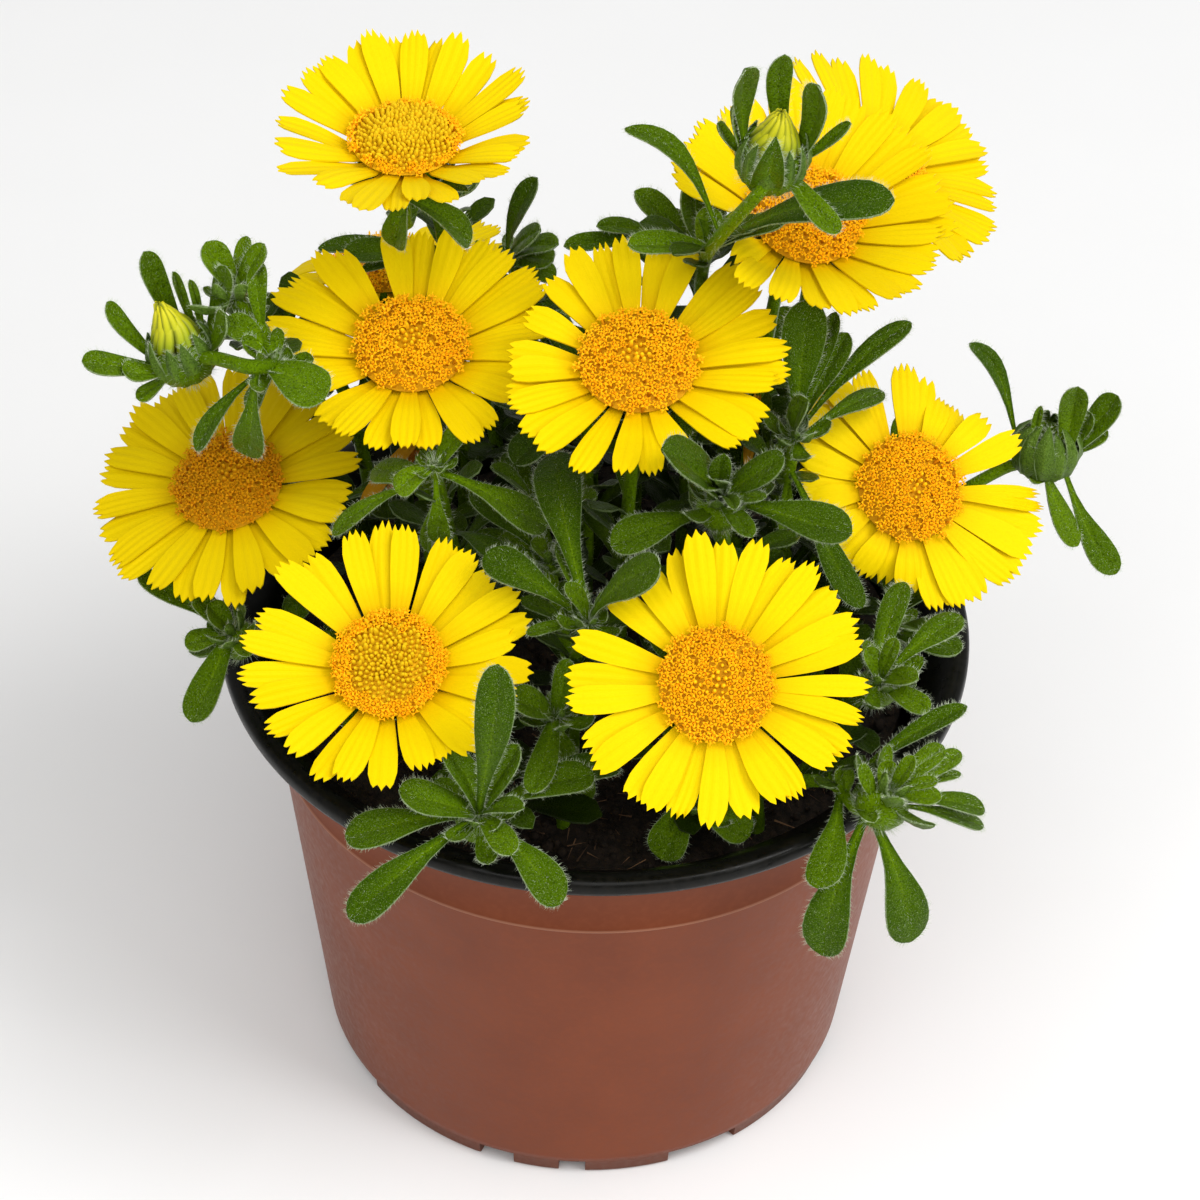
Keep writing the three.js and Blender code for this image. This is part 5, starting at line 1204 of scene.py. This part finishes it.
# The pot
POT_SEGMENTS = 168
NOTCHES = [(251.5, 6 * MM), (268.5, 4.4 * MM), (298.5, 12.6 * MM)]
NOTCH_TOP = FLOOR_UNDER - 0.4 * MM
NOTCH_EDGE = math.radians(0.03)
TERRACOTTA, BLACK = 0, 1


def near(radius, level, *offsets):
    """Profile points, as offsets in millimetres from a radius and a level."""
    return [(radius + out * MM, level + up * MM) for out, up in offsets]


def pot_profiles():
    """(radius, height) pairs up the outside of the wall and down the inside, from the axis and back."""
    foot_level = FLOOR_TOP + 0.4 * MM
    wall = [(WALL_FOOT_RADIUS + (COLLAR_RADIUS - WALL_FOOT_RADIUS) * share,
             foot_level + (COLLAR_LEVEL - 0.2 * MM - foot_level) * share)
            for share in np.linspace(0, 1, 12)]
    outside = [
        *near(0, 0, (0, 0), (7, 0), (7.6, 0.4)),
        *near(0, FLOOR_UNDER, (8, 0)),
        *near(FOOT_RADIUS - FOOT_RING_WIDTH, FLOOR_UNDER, (-0.5, 0)),
        *near(FOOT_RADIUS - FOOT_RING_WIDTH, 0, (-0.1, 0.3), (0.2, 0)),
        *near(FOOT_RADIUS, 0, (-0.5, 0), (0, 0.4)),
        *near(FOOT_RADIUS, FLOOR_UNDER, (0.3, -0.3), (0.55, 0.2), (1.05, 0.5)),
        *wall,
        *near(COLLAR_RADIUS, COLLAR_LEVEL, (0.1, -0.25), (0.24, -0.06), (0.42, 0.1), (0.42, 0.3), (0.2, 0.5)),
        *near(LIP_NECK_RADIUS, LIP_LEVEL, (-0.8, -5), (-0.45, -1.5), (-0.1, -0.9)),
    ]
    inside = [
        *near(LIP_NECK_RADIUS, LIP_LEVEL, (0.5, -0.55)),
        *near(RIM_RADIUS, LIP_LEVEL, (-2, -0.15), (-0.7, 0.02), (-0.15, 0.35), (0, 0.9)),
        *near(RIM_RADIUS, POT_HEIGHT, (0, -1.05), (-0.18, -0.5), (-0.6, -0.12), (-1.2, 0), (-2.1, -0.02),
              (-2.9, -0.3), (-3.7, -1)),
        *near(LIP_NECK_RADIUS, LIP_LEVEL, (-0.6, -0.9), (-1.05, -2.2)),
        (COLLAR_RADIUS - WALL, COLLAR_LEVEL), (WALL_FOOT_RADIUS - WALL, FLOOR_TOP + 0.1 * MM),
        (0, FLOOR_TOP),
    ]
    return outside, inside


def notches():
    """The middle and half the angle of each gap in the foot ring."""
    return [(math.radians(degrees + 90 * quarter), width / 2 / FOOT_RADIUS)
            for quarter in range(4) for degrees, width in NOTCHES]


def pot_shape():
    angles = list(np.linspace(0, TURN, POT_SEGMENTS, endpoint=False))
    for middle, half in notches():
        angles += [(middle + way * half + side * NOTCH_EDGE) % TURN for way in (-1, 1) for side in (-1, 1)]
    angles = np.array(sorted(angles))
    raised = np.any([np.abs((angles - middle + math.pi) % TURN - math.pi) < half
                     for middle, half in notches()], axis=0)
    outside, inside = pot_profiles()
    rings = []
    for radius, high in [*outside, *inside][1:-1]:
        in_ring = radius > FOOT_RADIUS - FOOT_RING_WIDTH - 0.2 * MM and high < NOTCH_TOP
        level = np.where(raised & in_ring, NOTCH_TOP, high)
        rings.append([radius * np.cos(angles), radius * np.sin(angles), level])
    ends = [[0, 0, outside[0][1]], [0, 0, inside[-1][1]]]
    points = np.concatenate([np.moveaxis(rings, 1, 2).reshape(-1, 3), ends])
    walls, low, high = stacked_faces(len(rings), len(angles))
    split = (len(outside) - 2) * len(angles)
    shape = Shape()
    shape.add(points, [walls[:split], walls[split:], low, high], [TERRACOTTA, BLACK, TERRACOTTA, BLACK])
    return shape


DRAINS = 4
DRAIN_RADIUS = 4 * MM
DRAIN_DISTANCE = 26 * MM


def cut_drains(pot):
    """Round holes through the pot's floor."""
    cutter_shape = Shape()
    for i in range(DRAINS):
        centre = DRAIN_DISTANCE * compass(360 * (i + 0.5) / DRAINS) + UP * (FLOOR_UNDER - 2 * MM)
        profile = [(0, 0), (DRAIN_RADIUS, 0), (DRAIN_RADIUS, 5 * MM), (0, 5 * MM)]
        add_turned(cutter_shape, profile, centre, UP, 24)
    mesh = bpy.data.meshes.new("drain_cutter")
    mesh.from_pydata(np.concatenate(cutter_shape.points), [], cutter_shape.faces)
    cutter = in_scene("drain_cutter", mesh)
    cut = pot.modifiers.new("drains", "BOOLEAN")
    cut.operation = "DIFFERENCE"
    cut.solver = "EXACT"
    cut.object = cutter
    depsgraph = bpy.context.evaluated_depsgraph_get()
    made = bpy.data.meshes.new_from_object(pot.evaluated_get(depsgraph))
    pot.modifiers.clear()
    old = pot.data
    pot.data = made
    bpy.data.meshes.remove(old)
    bpy.data.objects.remove(cutter)


# The soil
SOIL_RINGS = 46
SOIL_SEGMENTS = 150
CRUMBS = 2200
FIBRES = 420

# The soil's unevenness, as (share of the height, size of the lumps in millimetres)
SOIL_LUMPS = [(0.55, 4.5), (0.4, 1.6), (0.25, 0.7)]
SOIL_UNEVENNESS = 0.8 * MM


def rough(points, size, dice, waves=14):
    """A seeded rough height at each point, from many crossing waves."""
    total = np.zeros(len(points))
    for _ in range(waves):
        way = dice.normal(size=2)
        total += np.sin(points[:, :2] @ (way / size) + dice.uniform(*ANY_ANGLE))
    return total / math.sqrt(waves)


def soil_piece(dice):
    shape = Shape()
    angles = np.linspace(0, TURN, SOIL_SEGMENTS, endpoint=False)
    level = FLOOR_TOP + 0.3 * MM
    rings = [(WALL_FOOT_RADIUS - WALL - 0.4 * MM, level), (SOIL_RADIUS - 0.1 * MM, COLLAR_LEVEL)]
    rings += [(SOIL_RADIUS * share, SOIL_TOP) for share in np.linspace(1, 0.02, SOIL_RINGS)]
    points = np.array([[r * math.cos(a), r * math.sin(a), z] for r, z in rings for a in angles])
    lumps = sum(share * rough(points, size * MM, dice) for share, size in SOIL_LUMPS)
    top = np.arange(len(points)) >= 2 * SOIL_SEGMENTS
    points[top, 2] += SOIL_UNEVENNESS * lumps[top]
    ends = [[0, 0, level], [0, 0, SOIL_TOP]]
    shape.add(np.concatenate([points, ends]), stacked_faces(len(rings), SOIL_SEGMENTS), tone=0.4)
    add_crumbs(shape, dice)
    return shape


def scattered(count, reach, heights, dice):
    """Places all over the soil, at heights above its level in millimetres."""
    distance = SOIL_RADIUS * reach * np.sqrt(dice.random(count))
    angle = dice.uniform(0, TURN, count)
    return np.stack([distance * np.cos(angle), distance * np.sin(angle),
                     SOIL_TOP + dice.uniform(*heights, count) * MM], -1)


def add_crumbs(shape, dice):
    """Loose crumbs, as uneven twenty-sided lumps, and short fibres on the soil."""
    golden = (1 + 5 ** 0.5) / 2
    corners = unit(np.array([[0, 1, golden], [0, -1, golden], [0, 1, -golden], [0, -1, -golden],
                             [1, golden, 0], [-1, golden, 0], [1, -golden, 0], [-1, -golden, 0],
                             [golden, 0, 1], [golden, 0, -1], [-golden, 0, 1], [-golden, 0, -1]]))
    faces = []
    for a, b, c in itertools.combinations(range(12), 3):
        if max(np.linalg.norm(corners[p] - corners[q]) for p, q in ((a, b), (b, c), (a, c))) < 1.2:
            outward = np.cross(corners[b] - corners[a], corners[c] - corners[a]) @ corners[a]
            faces.append([a, b, c] if outward > 0 else [a, c, b])
    corners = corners * np.array([1, 0.8, 0.7]) * dice.uniform(0.8, 1.2, (12, 1))
    places = scattered(CRUMBS, 0.98, (-0.4, 0.9), dice)
    size = MM * (0.28 + dice.random(CRUMBS) ** 3)
    turns = turns_to(dice.normal(size=(CRUMBS, 3)), size, size)
    add_copies(shape, corners, [np.array(faces)], places, turns, tone=dice.random(CRUMBS))
    places = scattered(FIBRES, 0.95, (0.2, 1.2), dice)
    ways = dice.normal(size=(FIBRES, 3)) * [1, 1, 0.25]
    turns = turns_to(ways, dice.uniform(0.07, 0.2, FIBRES) * MM, dice.uniform(1.5, 6, FIBRES) * MM)
    add_copies(shape, SPIKE_POINTS, SPIKE_FACES, places, turns, tone=1.0 + dice.random(FIBRES))


# Materials
class Finish:
    """A material whose nodes are made by short calls."""

    def __init__(self, name, roughness, **settings):
        self.material = bpy.data.materials.new(name)
        self.material.use_nodes = True
        self.nodes = self.material.node_tree.nodes
        self.links = self.material.node_tree.links
        self.shader = self.nodes["Principled BSDF"]
        self.shader.inputs["Roughness"].default_value = roughness
        for socket, value in settings.items():
            self.shader.inputs[socket.replace("_", " ")].default_value = value

    def set(self, socket, value):
        if isinstance(value, bpy.types.NodeSocket):
            self.links.new(value, socket)
        elif isinstance(value, (tuple, list)) and len(value) == 3 and socket.type == "RGBA":
            socket.default_value = (*value, 1)
        else:
            socket.default_value = value

    def value(self, name):
        node = self.nodes.new("ShaderNodeAttribute")
        node.attribute_name = name
        return node.outputs["Fac"]

    def maths(self, operation, first, second=0.0):
        node = self.nodes.new("ShaderNodeMath")
        node.operation = operation
        self.set(node.inputs[0], first)
        self.set(node.inputs[1], second)
        return node.outputs[0]

    def times(self, first, second):
        return self.maths("MULTIPLY", first, second)

    def between(self, value, low, high, to_low=0.0, to_high=1.0):
        node = self.nodes.new("ShaderNodeMapRange")
        names = ("Value", "From Min", "From Max", "To Min", "To Max")
        for name, given in zip(names, (value, low, high, to_low, to_high)):
            self.set(node.inputs[name], given)
        return node.outputs[0]

    def mix(self, factor, first, second):
        node = self.nodes.new("ShaderNodeMix")
        node.data_type = "RGBA"
        self.set(node.inputs["Factor"], factor)
        self.set(node.inputs[6], first)
        self.set(node.inputs[7], second)
        return node.outputs[2]

    def noise(self, size, detail=3.0, stretch=(1, 1, 1)):
        """Noise whose grains are about a size across."""
        place = self.nodes.new("ShaderNodeTexCoord")
        mapping = self.nodes.new("ShaderNodeMapping")
        mapping.inputs["Scale"].default_value = stretch
        node = self.nodes.new("ShaderNodeTexNoise")
        node.inputs["Scale"].default_value = 1 / size
        node.inputs["Detail"].default_value = detail
        self.links.new(place.outputs["Object"], mapping.inputs["Vector"])
        self.links.new(mapping.outputs["Vector"], node.inputs["Vector"])
        return node.outputs["Fac"]

    def bump(self, height, strength, distance):
        node = self.nodes.new("ShaderNodeBump")
        node.inputs["Strength"].default_value = strength
        node.inputs["Distance"].default_value = distance
        self.links.new(height, node.inputs["Height"])
        self.links.new(node.outputs["Normal"], self.shader.inputs["Normal"])

    def finished(self, colour, roughness=None):
        self.set(self.shader.inputs["Base Color"], colour)
        if roughness is not None:
            self.set(self.shader.inputs["Roughness"], roughness)
        return self.material


def ray_finish():
    f = Finish("ray_petal", 0.6, Specular_IOR_Level=0.12, Specular_Tint=(1, 0.9, 0.3, 1))
    # The darkest yellow is painted shade at a ray's base, near the disc, and also tints random streaks
    deep, clear, pale = (0.68, 0.39, 0.0), (0.83, 0.595, 0.0), (0.85, 0.65, 0.001)
    colour = f.mix(f.between(f.value("along"), -0.1, 0.35), deep, clear)
    colour = f.mix(f.times(f.value("tone"), 0.5), colour, pale)
    streaks = f.between(f.noise(0.5 * MM, 2.0), 0.5, 0.75, 0.0, 0.12)
    colour = f.mix(streaks, colour, deep)
    colour = f.mix(f.times(f.value("under"), 0.35), colour, (0.6, 0.5, 0.01))
    # An old head's rays darken: their older colour with painted shade
    colour = f.mix(f.times(f.value("deep"), 0.45), colour, (0.5, 0.36, 0.0))
    veins = f.maths("SINE", f.times(f.value("across"), 34.0))
    f.bump(f.maths("ADD", f.times(veins, 0.3), f.noise(0.35 * MM, 3.0)), 0.25, 0.05 * MM)
    return f.finished(colour)


def withered_finish():
    f = Finish("withered_petal", 0.7, Specular_IOR_Level=0.15)
    colour = f.mix(f.noise(0.6 * MM, 3.0, (1, 1, 0.3)), (0.2, 0.05, 0.004), (0.55, 0.24, 0.015))
    colour = f.mix(f.times(f.value("tone"), 0.5), colour, (0.6, 0.36, 0.01))
    f.bump(f.noise(0.4 * MM, 3.0), 0.5, 0.1 * MM)
    return f.finished(colour)


def disc_finish():
    f = Finish("disc_floret", 0.6, Specular_IOR_Level=0.15, Specular_Tint=(1, 0.8, 0.3, 1))
    along = f.value("along")
    # Painted shade: florets are darkest low down and on the disc between them, orange higher, yellow at tips
    colour = f.mix(f.between(along, 0.05, 0.5), (0.34, 0.1, 0.002), (1.0, 0.42, 0.004))
    colour = f.mix(f.between(along, 0.45, 0.85), colour, (1.0, 0.66, 0.008))
    colour = f.mix(f.times(f.value("tone"), 0.35), colour, (0.98, 0.62, 0.01))
    colour = f.mix(f.times(f.value("young"), 0.85), colour, (0.74, 0.5, 0.008))
    # An old head's florets darken: their older colour with painted shade
    colour = f.mix(f.times(f.value("deep"), 0.6), colour, (0.32, 0.08, 0.001))
    f.bump(f.noise(0.2 * MM, 2.0), 0.4, 0.05 * MM)
    return f.finished(colour)


def leaf_finish():
    f = Finish("leaf", 0.4, Specular_IOR_Level=0.14, Specular_Tint=(0.7, 1, 0.1, 1))
    along, off = f.value("along"), f.maths("ABSOLUTE", f.value("across"))
    colour = f.mix(f.value("young"), (0.025, 0.064, 0.0005), (0.128, 0.226, 0.0008))
    colour = f.mix(f.times(f.value("tone"), 0.35), colour, (0.042, 0.088, 0.0005))
    mottle = f.between(f.noise(1.6 * MM, 4.0), 0.35, 0.7)
    colour = f.mix(f.times(mottle, 0.35), colour, (0.052, 0.1, 0.0005))
    heart = f.times(f.between(off, 0.0, 0.8, 1.0, 0.0), f.between(along, 0.1, 0.8, 0.85, 0.12))
    colour = f.mix(heart, colour, (0.12, 0.225, 0.0005))
    midrib = f.times(f.between(off, 0.0, 0.1, 0.35, 0.0), f.between(along, 0.4, 0.9, 1.0, 0.0))
    colour = f.mix(midrib, colour, (0.18, 0.27, 0.008))
    # A pale margin: its fringe of hairs' own colour, brightened as a painted sheen
    colour = f.mix(f.between(off, 0.95, 1.0, 0.0, 0.7), colour, (0.3, 0.38, 0.2))
    colour = f.mix(f.times(f.value("under"), 0.5), colour, (0.075, 0.13, 0.03))
    grain = f.noise(0.3 * MM, 2.0)
    # Painted shade in the pits: darker where the fine grain that also bumps the surface dips
    colour = f.mix(f.between(grain, 0.5, 0.34, 0.0, 0.6), colour, (0.008, 0.024, 0.0))
    # Painted glints: tiny pale specks, more of them further out along the leaf
    painted_glints = f.between(f.noise(0.17 * MM, 1.0), 0.61, 0.66)
    painted_glints = f.times(painted_glints, f.between(along, 0.15, 0.8, 0.05, 0.34))
    colour = f.mix(painted_glints, colour, (0.34, 0.44, 0.17))
    # Painted shade darkens leaves deep in the plant, along with the darker colour of old leaves
    colour = f.mix(f.times(f.value("deep"), 0.85), colour, (0.005, 0.01, 0.0005))
    f.bump(f.maths("ADD", f.times(f.noise(1.8 * MM, 2.0), 3.0), f.times(grain, 1.6)), 0.85, 0.15 * MM)
    return f.finished(colour, f.between(mottle, 0, 1, 0.28, 0.44))


def hair_finish():
    f = Finish("leaf_hair", 0.5, Specular_IOR_Level=0.4)
    colour = f.mix(f.value("tone"), (0.34, 0.43, 0.24), (0.68, 0.74, 0.58))
    # Painted shade darkens the hairs of leaves deep in the plant
    return f.finished(f.mix(f.times(f.value("deep"), 0.9), colour, (0.02, 0.03, 0.01)))


def bud_ray_finish():
    f = Finish("bud_ray", 0.5, Specular_IOR_Level=0.3)
    colour = f.mix(f.value("young"), (0.48, 0.5, 0.004), (0.28, 0.36, 0.003))
    colour = f.mix(f.between(f.value("along"), 0.4, 1.0), colour, (0.66, 0.6, 0.008))
    # Painted shade: each closed ray darkens towards its edges, where it meets the next
    off = f.maths("ABSOLUTE", f.value("across"))
    colour = f.mix(f.between(off, 0.45, 1.0, 0.0, 0.85), colour, (0.16, 0.19, 0.01))
    f.bump(f.noise(0.3 * MM, 2.0), 0.3, 0.05 * MM)
    return f.finished(colour)


def terracotta_finish():
    f = Finish("pot_terracotta", 0.4, Specular_IOR_Level=0.26)
    wide, fine = f.noise(14 * MM, 4.0), f.noise(1.2 * MM, 5.0)
    colour = f.mix(f.between(wide, 0.3, 0.7), (0.152, 0.0275, 0.003), (0.182, 0.035, 0.005))
    colour = f.mix(f.between(fine, 0.45, 0.75, 0.0, 0.2), colour, (0.27, 0.07, 0.025))
    place = f.nodes.new("ShaderNodeTexCoord")
    split = f.nodes.new("ShaderNodeSeparateXYZ")
    f.links.new(place.outputs["Object"], split.inputs[0])
    high = split.outputs["Z"]
    # A painted highlight: a thin pale line along the collar's lower edge
    off_painted_highlight = f.maths("ABSOLUTE", f.maths("SUBTRACT", high, COLLAR_LEVEL + 0.25 * MM))
    colour = f.mix(f.between(off_painted_highlight, 0.1 * MM, 0.25 * MM, 0.5, 0.0), colour, (0.42, 0.2, 0.12))
    foot_shade = f.between(high, FLOOR_UNDER + 1 * MM, FLOOR_UNDER - 1 * MM, 0.0, 0.45)
    colour = f.mix(foot_shade, colour, (0.1, 0.03, 0.014))
    f.bump(f.maths("ADD", f.noise(3 * MM, 4.0), f.times(fine, 0.35)), 0.25, 0.12 * MM)
    return f.finished(colour, f.between(fine, 0.3, 0.7, 0.36, 0.5))


def black_finish():
    f = Finish("pot_black", 0.3, Specular_IOR_Level=0.15)
    fine = f.noise(1.4 * MM, 4.0)
    colour = f.mix(f.between(fine, 0.45, 0.8), (0.003, 0.003, 0.002), (0.009, 0.008, 0.006))
    f.bump(f.noise(2.5 * MM, 3.0), 0.2, 0.1 * MM)
    return f.finished(colour, f.between(fine, 0.3, 0.7, 0.24, 0.42))


def soil_finish():
    f = Finish("soil", 0.92, Specular_IOR_Level=0.25)
    tone = f.value("tone")
    grain = f.between(f.noise(1.1 * MM, 5.0), 0.35, 0.7)
    colour = f.mix(grain, (0.005, 0.0035, 0.002), (0.024, 0.015, 0.009))
    colour = f.mix(f.between(tone, 0.5, 1.0, 0.0, 0.35), colour, (0.045, 0.027, 0.015))
    colour = f.mix(f.between(tone, 1.0, 2.0, 0.0, 0.9), colour, (0.22, 0.12, 0.06))
    f.bump(f.noise(0.5 * MM, 6.0), 0.9, 0.4 * MM)
    return f.finished(colour)


def floor_finish():
    f = Finish("pale_floor", 0.8, Specular_IOR_Level=0.1)
    return f.finished(f.mix(f.noise(40 * MM, 2.0), (0.88, 0.88, 0.875), (0.9, 0.9, 0.9)))


# Stage, light and camera
FLOOR_HALF = 12.0
FLOOR_LEVEL = -0.05 * MM


def stage():
    corners = [(x * FLOOR_HALF, y * FLOOR_HALF, FLOOR_LEVEL) for x, y in ((-1, -1), (1, -1), (1, 1), (-1, 1))]
    mesh = bpy.data.meshes.new("floor")
    mesh.from_pydata(corners, [], [(0, 1, 2, 3)])
    mesh.materials.append(floor_finish())
    floor = in_scene("floor", mesh)


def stood(name, data, place, right, up):
    """A light or camera at a place, with its own X and Y along two directions."""
    holder = in_scene(name, data)
    matrix = Matrix.Identity(4)
    for column, way in enumerate((right, up, np.cross(right, up), place)):
        matrix.col[column][:3] = [float(value) for value in way]
    holder.matrix_world = matrix
    return holder


# Soft rectangular lights, as (name, place, size, power in watts)
LIGHTS = [
    ("key", (0.6, -0.35, 1.15), (0.5, 0.5), 7),
    ("fill", (-0.95, -0.8, 0.7), (0.6, 0.9), 1.3),
    ("side", (0.9, -0.6, 0.65), (0.4, 0.5), 3.2),
    ("front", (-0.15, -0.75, 1.15), (1.0, 1.0), 7.4),
]
LIGHT_AIM = np.array([0, 0, 0.1])
SKY_STRENGTH = 0.5


def lights():
    world = bpy.data.worlds.new("soft_white")
    world.use_nodes = True
    background = world.node_tree.nodes["Background"]
    background.inputs["Color"].default_value = (1, 1, 1, 1)
    background.inputs["Strength"].default_value = SKY_STRENGTH
    bpy.context.scene.world = world
    for name, place, size, power in LIGHTS:
        light = bpy.data.lights.new(name, "AREA")
        light.shape = "RECTANGLE"
        light.size, light.size_y = size
        light.energy = power
        back = unit(np.array(place) - LIGHT_AIM)
        right = unit(np.cross(UP, back))
        stood(name, light, place, right, np.cross(back, right))


def camera():
    lens = bpy.data.cameras.new("camera")
    lens.sensor_width = SENSOR
    lens.lens = SENSOR * VIEW_FOCAL_PIXELS / PICTURE_PIXELS
    lens.shift_x = (PICTURE_PIXELS / 2 - VIEW_CENTRE[0]) / PICTURE_PIXELS
    lens.shift_y = (VIEW_CENTRE[1] - PICTURE_PIXELS / 2) / PICTURE_PIXELS
    lens.clip_start, lens.clip_end = 0.02, 50
    turn, lift = math.cos(VIEW_ROLL), math.sin(VIEW_ROLL)
    right, up = turn * RIGHT + lift * VIEW_UP, turn * VIEW_UP - lift * RIGHT
    bpy.context.scene.camera = stood("camera", lens, EYE, right, up)


# Making everything
camera()
lights()
stage()
bpy.context.scene.view_settings.view_transform = "Standard"

RAY, DISC, LEAF, LEAF_HAIR = ray_finish(), disc_finish(), leaf_finish(), hair_finish()
BUD_RAY, SOIL = bud_ray_finish(), soil_finish()

pot = pot_shape().made("pot_shell", [terracotta_finish(), black_finish()], "pot_plastic", "pot")
cut_drains(pot)
soil_piece(np.random.default_rng([SEED, 1])).made("soil_crumbs", [SOIL], "soil", "soil")
withered = Shape()
for number, bloom in enumerate(BLOOMS):
    name = bloom["name"]
    dice = np.random.default_rng([SEED, 2, number])
    head = Head(bloom)
    rays_piece(head, dice).made("petals_" + name, [RAY], "ray_petal", "rays_" + name)
    disc_piece(head, dice).made("florets_" + name, [DISC], "disc_floret", "disc_" + name)
    green_under_head(head, dice, withered).made("stalk_" + name, [LEAF, LEAF_HAIR], "leaf", "stem_" + name)
withered.made("withered_petals", [withered_finish()], "ray_petal")
for number, shoot in enumerate(SHOOTS):
    name = shoot["name"]
    dice = np.random.default_rng([SEED, 3, number])
    shoot_piece(shoot, dice).made("leaves_" + name, [LEAF, LEAF_HAIR], "leaf", "shoot_" + name)
    if shoot.get("bud", {}).get("rays"):
        closed_rays = bud_rays_piece(shoot["bud"], dice)
        closed_rays.made("closed_rays_" + name, [BUD_RAY], "bud_ray", "bud_rays_" + name)
for number, filler in enumerate(FILLERS):
    dice = np.random.default_rng([SEED, 4, number])
    name = f"back_{number + 1}"
    filler_piece(filler, dice).made("leaves_" + name, [LEAF, LEAF_HAIR], "leaf", "shoot_" + name)
